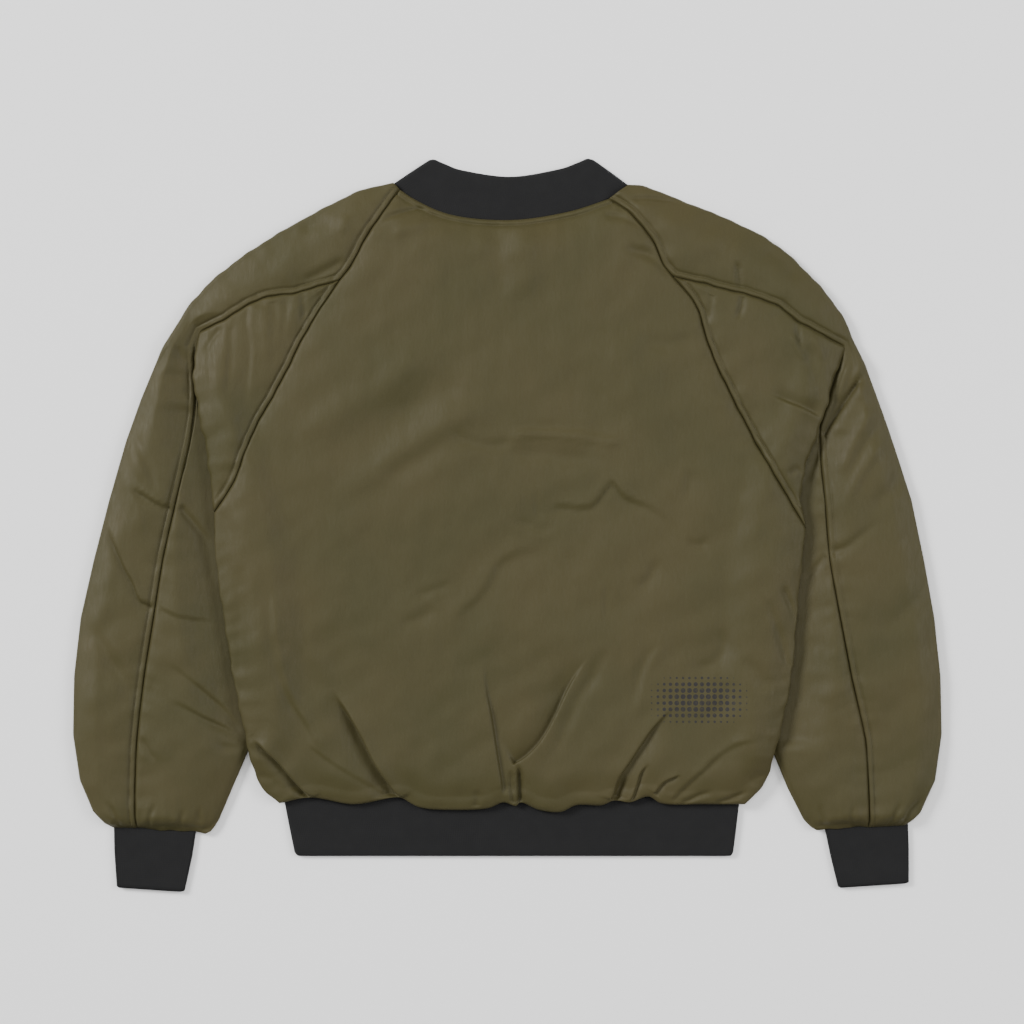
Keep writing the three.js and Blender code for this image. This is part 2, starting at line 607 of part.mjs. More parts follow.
function addWaistband() {
  const { seamLeft, seamRight, freeLeft, freeRight, freeY } = WAISTBAND;
  const row = (seamX, topX) => ({ seamX, seamY: HEM_SEAM_Y, topX, topY: freeY });
  const [left, right] = [row(seamLeft, freeLeft), row(seamRight, freeRight)];
  const edgeLeft = row(CENTRE_X - FRONT_EDGE, CENTRE_X - FRONT_EDGE);
  const edgeRight = row(CENTRE_X + FRONT_EDGE, CENTRE_X + FRONT_EDGE);
  const run = (from, to, steps, angle) => sectionsOf([from, to], steps).map((at) => station(at, angle));
  const stations = [
    ...run(edgeLeft, left, 5, 0),
    ...turned(left, -1, TURNS),
    ...run(left, right, 12, Math.PI),
    ...turned(right, 1, [...TURNS].reverse()),
    ...run(right, edgeRight, 5, 0),
  ];
  add("waistband", band(stations, RIB_WALL), RIB_KNIT);
}

// A cuff is a flattened tube, a little narrower at its open end.
function addCuff(side) {
  const ring = (row, grow) => {
    const radius = RIB_TOP / 2;
    const [axis0, axis1] = [row.x0 + radius, row.x1 - radius];
    const round = radius - grow;
    const half = [90, 135, 180, 225, 270].map(THREE.MathUtils.degToRad);
    const end = (x, turn) =>
      half.map((a) => [x + turn * round * Math.cos(a), radius + turn * round * Math.sin(a)]);
    const flat = (share) => THREE.MathUtils.lerp(axis0, axis1, share);
    const along = [
      ...end(axis0, 1), [flat(0.33), radius - round], [flat(0.67), radius - round],
      ...end(axis1, -1), [flat(0.67), radius + round], [flat(0.33), radius + round],
    ];
    return along.map(([x, z]) => new THREE.Vector3(x, slanted(side, x, row.y).y, z));
  };
  const rows = sectionsOf(side.cuff, 4);
  const geometry = wall(
    rows.map((row) => ring(row, 0)),
    rows.map((row) => ring(row, RIB_WALL)),
    { ring: true },
  );
  add("cuff_" + side.name, geometry, RIB_KNIT);
}

// The zip lies in the front opening, lower between the waistband's ends and higher above them.
const zipHeight = (y) => 0.3 + ZIP.rise * ease((y - HEM_SEAM_Y) / 60);

function zipStrip(x0, x1, low, depth) {
  const steps = 14;
  const lines = Array.from({ length: steps + 1 }, (_, i) => {
    const share = i / steps;
    return THREE.MathUtils.lerp(ZIP.bottom, ZIP.top, share * (0.35 + 0.65 * share));
  });
  const grid = lines.map((y) => [x0, x1].map((x) => new THREE.Vector2(x, y)));
  const under = (x, y) => zipHeight(y) + low;
  return wall(raised(grid, (x, y) => under(x, y) + depth), raised(grid, under));
}

function addZip() {
  const { chainHalf, chainDepth, tapeDepth } = ZIP;
  add("zip_chain", zipStrip(CENTRE_X - chainHalf, CENTRE_X + chainHalf, 0, chainDepth), ZIP_METAL);
  const inner = chainHalf + 0.3;
  const outer = FRONT_EDGE - 1.4;
  const low = (chainDepth - tapeDepth) / 2;
  add("zip_tape_left", zipStrip(CENTRE_X - outer, CENTRE_X - inner, low, tapeDepth), ZIP_TAPE);
  add("zip_tape_right", zipStrip(CENTRE_X + inner, CENTRE_X + outer, low, tapeDepth), ZIP_TAPE);
}

// The slider's body is drawn from the side and has an ear on each side for the pull tab.
function addSlider() {
  const { halfWidth, low, high, under, over, earDepth } = SLIDER;
  const profile = new THREE.Shape([
    [PULL.axisY - 1.5, under - earDepth], [PULL.axisY + 1.5, under - earDepth],
    [PULL.axisY + 2.2, under], [high, under], [high, over], [low, over], [low, under],
    [PULL.axisY - 2.2, under],
  ].map(([y, z]) => new THREE.Vector2(y, z)));
  const plain = new THREE.Shape([[low, under], [high, under], [high, over], [low, over]]
    .map(([y, z]) => new THREE.Vector2(y, z)));
  const toSide = new THREE.Matrix4().set(0, 0, 1, 0, 1, 0, 0, 0, 0, 1, 0, 0, 0, 0, 0, 1);
  const slice = (shape, x0, x1) =>
    new THREE.ExtrudeGeometry(shape, { depth: x1 - x0, bevelEnabled: false })
      .applyMatrix4(toSide)
      .translate(CENTRE_X + x0, 0, 0);
  const ear = PULL.neck + PULL_GAP;
  add("zip_slider", joined([
    slice(plain, -halfWidth, halfWidth), slice(profile, -halfWidth, -ear), slice(profile, ear, halfWidth),
  ]), ZIP_METAL);
}

// The pull tab is drawn from below: a narrow neck between the ears and a wide tab.
function addPull() {
  const { length, halfWidth, neck, depth, axisY, axisZ } = PULL;
  const shape = new THREE.Shape();
  const end = axisY - length;
  shape.moveTo(-neck, axisY + 0.6);
  shape.lineTo(-neck, axisY - 4);
  shape.lineTo(-halfWidth, axisY - 6);
  shape.lineTo(-halfWidth, end + halfWidth);
  shape.absarc(0, end + halfWidth, halfWidth, Math.PI, 2 * Math.PI);
  shape.lineTo(halfWidth, axisY - 6);
  shape.lineTo(neck, axisY - 4);
  shape.lineTo(neck, axisY + 0.6);
  const hole = new THREE.Path().absarc(0, end + halfWidth + 1, 1.7, 0, 2 * Math.PI, true);
  shape.holes.push(hole);
  const geometry = new THREE.ExtrudeGeometry(shape, { depth, bevelEnabled: false, curveSegments: 8 });
  const mesh = new THREE.Mesh(geometry, ZIP_METAL);
  mesh.name = "zip_pull";
  mesh.position.set(CENTRE_X, 0, axisZ - depth / 2);
  jacket.add(mesh);
}

addBack();
for (const side of SIDES) {
  addFront(side);
  addOuterSleeve(side);
  addUpperUnderSleeves(side);
  addLowerUnderSleeves(side);
  addCuff(side);
}
addCollar();
addWaistband();
addZip();
addSlider();
addPull();

export default jacket;
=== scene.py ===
# %% [markdown]
# # A padded bomber jacket, laid flat on its front
# The jacket lies face down, so its back is what shows. It has raglan sleeves with an outer panel
# and an under-sleeve, and a knitted collar, waistband and cuffs. Shell, wadding and lining are
# sewn together at the seams only, so each panel swells between its seams like a thin cushion.
# Everything is in metres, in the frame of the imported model. Tables are in millimetres, times MM.

# %% Load the frame
import math
import bmesh
import bpy
import numpy as np
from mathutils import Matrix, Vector


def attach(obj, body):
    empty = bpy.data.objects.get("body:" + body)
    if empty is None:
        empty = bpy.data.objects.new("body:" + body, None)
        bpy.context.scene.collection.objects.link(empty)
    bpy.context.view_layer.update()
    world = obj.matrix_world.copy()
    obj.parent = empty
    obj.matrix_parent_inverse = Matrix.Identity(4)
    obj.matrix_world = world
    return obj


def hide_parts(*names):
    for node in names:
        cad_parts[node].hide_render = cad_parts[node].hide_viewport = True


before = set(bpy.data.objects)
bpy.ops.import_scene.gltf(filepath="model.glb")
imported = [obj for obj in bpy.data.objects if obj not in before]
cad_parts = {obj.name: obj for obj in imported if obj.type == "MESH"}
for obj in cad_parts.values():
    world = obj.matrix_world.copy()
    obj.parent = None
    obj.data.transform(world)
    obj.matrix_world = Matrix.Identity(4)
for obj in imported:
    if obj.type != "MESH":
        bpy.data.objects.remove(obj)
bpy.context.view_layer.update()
MM = 0.001

# %% [markdown]
# ## Camera, floor and light
# The photo looks straight down on the jacket. A long lens from three metres keeps the outline
# as flat as the photo has it. A strong soft light stands beyond the left sleeve and the collar, a
# weak one at the right and one above, so that the folds shade gently. The pale floor throws light
# back at the edges.

# %% Camera
LENS = 100.0
SENSOR = 36.0
PHOTO_SCALE = 1.05 * MM
VIEW_WIDTH = 1024 * PHOTO_SCALE
camera_data = bpy.data.cameras.new("camera")
camera_data.lens = LENS
camera_data.sensor_width = SENSOR
camera = bpy.data.objects.new("camera", camera_data)
camera.location = (0.0047, 0.0144, 0.006 + VIEW_WIDTH * LENS / SENSOR)
bpy.context.scene.collection.objects.link(camera)
bpy.context.scene.camera = camera


# %% Floor
def make_object(name, made):
    """Puts a finished bmesh into the scene."""
    data = bpy.data.meshes.new(name)
    made.to_mesh(data)
    made.free()
    piece = bpy.data.objects.new(name, data)
    bpy.context.scene.collection.objects.link(piece)
    return piece


floor_mesh = bmesh.new()
bmesh.ops.create_grid(floor_mesh, x_segments=1, y_segments=1, size=6.0)
bmesh.ops.translate(floor_mesh, vec=(0, 0, -0.0004), verts=floor_mesh.verts)
floor = make_object("floor", floor_mesh)
paper = bpy.data.materials.new("white_paper")
paper.use_nodes = True
paper.node_tree.nodes["Principled BSDF"].inputs["Base Color"].default_value = (0.9, 0.9, 0.9, 1)
paper.node_tree.nodes["Principled BSDF"].inputs["Roughness"].default_value = 0.9
floor.data.materials.append(paper)


# %% Soft lights
def soft_light(name, place, size, watts):
    """A square lamp that looks at the middle of the jacket."""
    lamp = bpy.data.lights.new(name, "AREA")
    lamp.shape = "SQUARE"
    lamp.size = size
    lamp.energy = watts
    holder = bpy.data.objects.new(name, lamp)
    holder.location = place
    holder.rotation_euler = (-Vector(place)).to_track_quat("-Z", "Y").to_euler()
    bpy.context.scene.collection.objects.link(holder)


soft_light("key", (-5.2, 2.6, 3.9), 2.2, 590)
soft_light("fill", (3.6, 0.6, 2.9), 2.4, 130)
soft_light("overhead", (0.0, 0.3, 3.4), 2.4, 46)
world = bpy.data.worlds.new("studio")
world.use_nodes = True
world.node_tree.nodes["Background"].inputs["Color"].default_value = (1, 1, 1, 1)
world.node_tree.nodes["Background"].inputs["Strength"].default_value = 0.52
bpy.context.scene.world = world

# %% [markdown]
# ## The pattern's lines
# Each seam is a smooth line through a few measured points. Panels on both sides of a seam share
# the same line, so they meet all along it. The tables run from the collar outwards and down.

# %% Seams of both sides
LEFT = {
    "name": "left",
    "sign": -1,
    "shoulder": [(-120, 360), (-151, 353), (-176, 342), (-218, 320)],
    "upper_arm": [(-218, 320), (-260, 295), (-304, 263), (-334, 232), (-344, 216)],
    "upper_raglan": [(-113, 353), (-130, 329), (-151, 297), (-164, 272), (-176, 257)],
    "lower_raglan": [(-176, 257), (-209, 206), (-237, 151), (-266, 98), (-287, 44), (-307, 14)],
    "sleeve_seam": [(-176, 257), (-221, 244), (-260, 237), (-291, 219), (-323, 203)],
    "fold": [(-323, 203), (-329, 166), (-324, 122), (-314, 71), (-311, 44), (-307, 14)],
    "body_edge": [(-307, 14), (-306, -25), (-295, -109), (-280, -193), (-259, -272), (-239, -291)],
    "front_neck": (-110, 319),
    # y, outer edge, seam, inner edge
    "sleeve": [
        (210, -349, -327, -324), (185, -363, -329, -327), (132, -385, -327.5, -322),
        (90, -400, -333, -301), (27, -418, -347, -281), (-36, -434, -361, -268),
        (-99, -448, -371, -260), (-162, -455, -381, -259), (-225, -456, -388, -270),
        (-272, -449, -390, -290), (-304, -435, -390, -303), (-317, -420, -389, -312),
    ],
    "tuck_top": 128,
    "lift_top": 203,
    # y, its two edges
    "cuff": [(-317.5, -414, -327), (-345, -413.5, -331), (-383.1, -411, -339)],
}
RIGHT = {
    "name": "right",
    "sign": 1,
    "shoulder": [(127, 358), (142, 357), (166, 348), (234, 321)],
    "upper_arm": [(234, 321), (282, 295), (331, 248), (354, 216), (363, 195)],
    "upper_raglan": [(106, 343), (129, 327), (154, 295), (163, 274), (173, 261)],
    "lower_raglan": [(173, 261), (196, 233), (213, 182), (254, 98), (282, 48), (312, -2)],
    "sleeve_seam": [(173, 261), (223, 249), (279, 232), (306, 213), (355, 187)],
    "fold": [(355, 187), (341, 152), (332, 118), (314, 68), (307, 34), (312, -2)],
    "body_edge": [(312, -2), (304, -78), (297, -158), (280, -237), (268, -272), (249, -292)],
    "front_neck": (117, 319),
    "sleeve": [
        (195, 363, 359, 358), (170, 375, 349, 347.6), (132, 389, 336.5, 332),
        (104, 399, 328, 321), (68, 411, 329, 298), (27, 424, 333, 286),
        (-36, 437, 338, 277), (-99, 448, 349, 273), (-162, 454.5, 361, 269),
        (-225, 455.8, 375, 276), (-272, 449, 378, 295), (-304, 434, 379, 311),
        (-314, 423, 379, 319),
    ],
    "tuck_top": 104,
    "lift_top": 187,
    "cuff": [(-314.5, 333, 421), (-345, 339, 422), (-379, 347, 422)],
}
SIDES = [LEFT, RIGHT]
NECKLINE = [(-113, 353), (-98, 343), (-61, 327), (3, 321), (65, 330), (106, 343)]
FRONT_NECKLINE = [(-110, 319), (-92, 293), (-60, 271), (-28, 259), (-5, 255)]
HEM = [
    (-239, -291), (-207, -285), (-161, -292), (-121, -285), (-112, -285), (-93, -295), (-56, -298),
    (-20, -296), (-4, -290), (9, -294), (13, -290), (33, -298), (56, -300), (72, -293), (99, -293),
    (112, -288), (128, -290), (148, -284), (161, -291), (207, -292), (249, -292),
]
CENTRE_X = 3 * MM
HEM_SEAM_Y = -284 * MM


# %% Lines and distances
def steps_of(line):
    """The lengths of a line's steps."""
    return np.linalg.norm(np.diff(line, axis=0), axis=1)


def walk_along(line):
    """The distance walked along a line, at each of its points."""
    return np.concatenate([[0], np.cumsum(steps_of(line))])


def leftward(line):
    """Vectors of length 1 that point to the left of a line, at each of its points."""
    ahead = np.gradient(line, axis=0)
    ahead /= np.linalg.norm(ahead, axis=1)[:, None]
    return np.stack([-ahead[:, 1], ahead[:, 0]], axis=1)


def smooth_line(points, count=90):
    """A centripetal curve through points in millimetres, as count + 1 evenly spaced points."""
    p = np.array(points, float) * MM
    p = np.vstack([2 * p[0] - p[1], p, 2 * p[-1] - p[-2]])
    dense = []
    for a, b, c, d in zip(p, p[1:], p[2:], p[3:]):
        t1 = np.linalg.norm(b - a) ** 0.5
        t2 = t1 + np.linalg.norm(c - b) ** 0.5
        t3 = t2 + np.linalg.norm(d - c) ** 0.5
        t = np.linspace(t1, t2, 30, endpoint=False)[:, None]
        ab = (t1 - t) / t1 * a + t / t1 * b
        bc = (t2 - t) / (t2 - t1) * b + (t - t1) / (t2 - t1) * c
        cd = (t3 - t) / (t3 - t2) * c + (t - t2) / (t3 - t2) * d
        abc = (t2 - t) / t2 * ab + t / t2 * bc
        bcd = (t3 - t) / (t3 - t1) * bc + (t - t1) / (t3 - t1) * cd
        dense.append((t2 - t) / (t2 - t1) * abc + (t - t1) / (t2 - t1) * bcd)
    dense = np.vstack([*dense, p[-2:-1]])
    walked = walk_along(dense)
    even = np.linspace(0, walked[-1], count + 1)
    return np.stack([np.interp(even, walked, dense[:, k]) for k in (0, 1)], axis=1)


def nearest(line, x, y):
    """Distance to a line, distance walked along it, and the side: positive to its left."""
    best = np.full(x.shape, np.inf)
    along = np.zeros(x.shape)
    side = np.ones(x.shape)
    walked = 0.0
    for (ax, ay), (bx, by) in zip(line, line[1:]):
        dx, dy = bx - ax, by - ay
        length = math.hypot(dx, dy)
        share = np.clip(((x - ax) * dx + (y - ay) * dy) / length**2, 0, 1)
        away = np.hypot(x - ax - share * dx, y - ay - share * dy)
        closer = away < best
        best = np.where(closer, away, best)
        along = np.where(closer, walked + share * length, along)
        side = np.where(closer, np.sign(dx * (y - ay) - dy * (x - ax)), side)
        walked += length
    return best, along, side


def border(*parts):
    """Lines in a row, each with the share of the border that it takes, as a function of 0 to 1."""
    shares = np.array([share for _, share in parts], float)
    ends = np.concatenate([[0], np.cumsum(shares)]) / shares.sum()
    places = np.concatenate([
        np.linspace(a, b, len(line)) for (line, _), a, b in zip(parts, ends, ends[1:])
    ])
    points = np.vstack([line for line, _ in parts])
    return lambda t: (np.interp(t, places, points[:, 0]), np.interp(t, places, points[:, 1]))


def patch(low, high, near, far, u, v):
    """The place at u across and v up of a panel with these four borders."""
    made = []
    for k in (0, 1):
        corners = [near(np.array([0.0]))[k], far(np.array([0.0]))[k],
                   near(np.array([1.0]))[k], far(np.array([1.0]))[k]]
        made.append(
            (1 - v) * low(u)[k] + v * high(u)[k] + (1 - u) * near(v)[k] + u * far(v)[k]
            - (1 - u) * (1 - v) * corners[0] - u * (1 - v) * corners[1]
            - (1 - u) * v * corners[2] - u * v * corners[3]
        )
    return made


# How far each line wanders, in millimetres
WANDER = {"shoulder": 0.3, "upper_arm": 0.4, "upper_raglan": 0.2, "lower_raglan": 0.3,
          "sleeve_seam": 0.4, "fold": 0.8, "body_edge": 0.5}


def uneven(line, amount, phase):
    """Lets a line wander a little to both sides, as sewn padding does, between fixed ends."""
    walked = np.cumsum(np.linalg.norm(np.gradient(line, axis=0), axis=1))
    share = np.linspace(0, 1, len(line))
    broad = np.sin(2 * np.pi * walked / (43 * MM) + phase)
    wave = broad + 0.7 * np.sin(walked / (3.1 * MM) + 2.3 * phase)
    fade = np.clip(6 * np.minimum(share, 1 - share), 0, 1)
    return line + (amount * MM * wave * fade)[:, None] * leftward(line)


for side in SIDES:
    side["lines"] = {
        name: uneven(smooth_line(side[name]), amount, side["sign"] + 2.0 * k)
        for k, (name, amount) in enumerate(WANDER.items())
    }
    side["raglan"] = np.vstack([side["lines"]["upper_raglan"], side["lines"]["lower_raglan"][1:]])
    side["lower_seam"] = smooth_line([(row[2], row[0]) for row in side["sleeve"]])
NECK = smooth_line(NECKLINE)
HEM_EDGE = smooth_line(HEM, 240)
FRONT_NECK = smooth_line(FRONT_NECKLINE)
print("raglan seams", [round(float(steps_of(side["raglan"]).sum()), 3) for side in SIDES])

# %% [markdown]
# ## How high the cloth stands
# The wadding is flat along each seam and swells away from it, steeply first and then less and
# less, as a quarter of an ellipse does. Where the body lies on a sleeve it is lifted by it, and
# the sleeve is pressed flat there.

# %% Heights of the layers
SEAM_GAP = 0.1 * MM
LAYER_GAP = 0.6 * MM
AIR_GAP = 1.6 * MM
AIR_REACH = 30 * MM
RIM_WALL = 4.8 * MM
SEAM_WALL = 6.6 * MM
EDGE_WALL = 3.4 * MM
FULL_WALL = 10.5 * MM
LOWER_WALL = 7.2 * MM
BODY_REACH = 38 * MM
SEAM_REACH = 32 * MM
SLEEVE_REACH = 27 * MM
TUCKED_HEIGHT = 6.2 * MM
BODY_LIFT = 6.9 * MM
COVER_EDGE = 1.0 * MM
PRESSED_EDGE = 0.6 * MM
INNER_SLOPE = 0.5
INNER_REACH = 52 * MM
LIFT_BEYOND = 16 * MM
LIFT_FALL = 35 * MM
RIB_WALL = 2.4 * MM
RIB_TOP = 2 * RIB_WALL + LAYER_GAP
COLLAR_WALL = 3.1 * MM
HEM_HANG = 24 * MM


def ease(t):
    t = np.clip(t, 0, 1)
    return t * t * (3 - 2 * t)


def puff(t):
    return np.sqrt(np.maximum(0, 1 - (1 - np.clip(t, 0, 1)) ** 2))


def lower_of(a, b, blend=0.7 * MM):
    """The lower of two heights, with a soft change from one to the other."""
    share = np.clip(0.5 + 0.5 * (b - a) / blend, 0, 1)
    return b + (a - b) * share - blend * share * (1 - share)


def column(rows, k, y):
    """One column of a sleeve's or cuff's table at a height y; its rows run from high to low."""
    rows = np.array(rows, float)[::-1] * MM
    return np.interp(y, rows[:, 0], rows[:, k])


def cover_at(side, y):
    """The edge of what lies on a sleeve: the fold, and below it the body's edge."""
    edge = np.vstack([side["lines"]["fold"], side["lines"]["body_edge"][1:]])[::-1]
    return np.interp(y, edge[:, 1], edge[:, 0])


def lift_at(x, y):
    lifts = []
    for side in SIDES:
        cover = cover_at(side, y)
        overlap = (cover - column(side["sleeve"], 3, y)) * side["sign"]
        inside = (cover - x) * side["sign"]
        starts = ease((side["lift_top"] * MM - y) / (55 * MM))
        ends = ease((y + 275 * MM) / (35 * MM))
        falls = 1 - ease((inside - overlap - LIFT_BEYOND) / LIFT_FALL)
        lifts.append(BODY_LIFT * starts * ends * falls)
    return np.maximum(*lifts)


def least_distance(lines, x, y):
    return np.minimum.reduce([nearest(line[::3], x, y)[0] for line in lines])


FREE_EDGES = [NECK, *[
    side["lines"][name] for side in SIDES for name in ("shoulder", "upper_arm", "fold", "body_edge")
]]


def to_outline(x, y):
    """Distance to the sides and neck, and distance to the hem."""
    return least_distance(FREE_EDGES, x, y), nearest(HEM_EDGE[::2], x, y)[0]


def body_middle(x, y, edges=None):
    away = np.minimum(*(edges or to_outline(x, y)))
    return lift_at(x, y) + EDGE_WALL + (LOWER_WALL - EDGE_WALL) * ease(away / BODY_REACH)


def body_lining(x, y, edges=None):
    edges = edges or to_outline(x, y)
    air = LAYER_GAP + AIR_GAP * ease(np.minimum(*edges) / AIR_REACH)
    over_rib = (RIB_TOP + LAYER_GAP) * (1 - ease((y - HEM_SEAM_Y - HEM_HANG) / HEM_HANG))
    return np.maximum(body_middle(x, y, edges) + air, over_rib)


# %% [markdown]
# ## Creases and puckers
# Laid cloth is never smooth. Thread pulls a seam a little shorter than the cloth, which puckers
# across it, and gathers at the waistband throw folds up into the back. The large creases are
# listed in millimetres, and the small ones come from a seeded noise.

# %% Folds, listed one by one
# A fold is a roll of cloth with a valley at its foot, so its edge is sharp and both sides are soft.
# Each row: height of the roll, depth of the valley, their widths, width of the edge between them,
# share of the length that fades in and out, and the points. The roll is on the left of the way.
FOLDS = [
    # folds at the waist
    (3.2, 8.8, 10, 17, 1.5, 0.36, 0.02, [(-183, -170), (-176, -183), (-165, -199), (-153, -220),
       (-139, -248), (-125, -269), (-111, -287)]),
    (2.2, 6.6, 8, 9, 1.4, 0.25, 0.02, [(-267, -223), (-255, -233), (-239, -248), (-223, -267),
       (-204, -287)]),
    (2.2, 1.8, 9, 7, 2.2, 0.2, 0.3, [(-247, -62), (-246, -88), (-244, -120), (-238, -151),
       (-226, -183), (-213, -204), (-199, -230), (-186, -245)]),
    (0.9, 1.1, 4, 5, 1.5, 0.2, 0.1, [(-213, -225), (-186, -246), (-160, -262), (-139, -275),
       (-122, -286)]),
    (1.3, 2.8, 14, 21, 1.6, 0.08, 0.5, [(-4, -284), (-9, -251), (-13, -225), (-17, -199),
       (-22, -172), (-25, -130)]),
    (1.7, 5.6, 14, 17, 1.3, 0.5, 0.04, [(87, -133), (68, -162), (60, -178), (52, -196),
       (39, -220), (29, -233), (18, -243), (5, -251)]),
    (1.5, 4.8, 12, 14, 1.8, 0.02, 0.4, [(109, -288), (116, -265), (127, -248), (139, -230),
       (150, -214), (162, -201), (177, -187)]),
    (1.3, 3.2, 4, 5, 1.2, 0.02, 0.4, [(129, -289), (135, -272), (139, -259), (149, -247)]),
    (1, 3, 5, 5, 1.2, 0.05, 0.3, [(153, -281), (164, -268), (182, -260)]),
    (0.9, 1.7, 6, 6, 1.5, 0.05, 0.4, [(171, -288), (192, -267), (213, -249), (233, -233)]),
    (0.6, 1.2, 6, 7, 2, 0.2, 0.4, [(202, -254), (219, -241), (242, -228), (266, -222)]),
    (1.3, 1.7, 10, 10, 3, 0.3, 0.5, [(164, -118), (150, -136), (141, -157), (135, -183),
       (127, -210)]),
    # folds at the middle
    (1.3, 2.4, 8, 9, 1.8, 0.1, 0.4, [(40, 15), (55, 20), (76, 19), (89, 22), (97, 32),
       (104, 41), (110, 47), (115, 40), (121, 31), (134, 25), (150, 19), (165, 8), (184, -2)]),
    (1, 1.4, 6, 7, 1.6, 0.3, 0.3, [(55, -1), (39, -7), (18, -2), (-1, 4)]),
    (1.2, 1.5, 14, 15, 4, 0.2, 0.4, [(-56, -105), (-45, -88), (-31, -76), (-18, -57), (-8, -39),
       (15, -27), (48, -23)]),
    (0.7, 1.3, 6, 9, 1.6, 0.3, 0.3, [(101, -102), (101, -78), (101, -57)]),
    # folds at the shoulder
    (0.7, 1.6, 7, 8, 1.6, 0.02, 0.5, [(-270, 231), (-271, 212), (-268, 193), (-269, 160),
       (-273, 120)]),
    (1.5, 3.0, 6, 10, 1.6, 0.1, 0.4, [(328, 113), (310, 122), (291, 130), (270, 140)]),
    # folds at the sleeve
    (1, 3.2, 6, 6, 1.5, 0.3, 0.02, [(-398, 42), (-381, 33), (-365, 23), (-347, 17)]),
    (1.2, 4.0, 6, 7, 1.5, 0.3, 0.02, [(-423, 6), (-412, -17), (-402, -41), (-391, -62),
       (-384, -78), (-369, -85)]),
    (0.8, 1.8, 6, 5, 1.5, 0.05, 0.5, [(-365, -86), (-344, -95), (-318, -99), (-296, -102)]),
    (1, 2.6, 7, 6, 1.5, 0.5, 0.02, [(-362, -180), (-342, -187), (-318, -200), (-293, -213),
       (-271, -227)]),
    (1, 2.4, 8, 7, 1.8, 0.5, 0.02, [(-362, -139), (-340, -154), (-318, -172), (-293, -196),
       (-274, -224)]),
    # fold at the right underarm
    (2.0, 5.5, 10, 8, 1.2, 0.3, 0.05, [(376, 162), (362, 139), (349, 119), (332, 92)]),
]
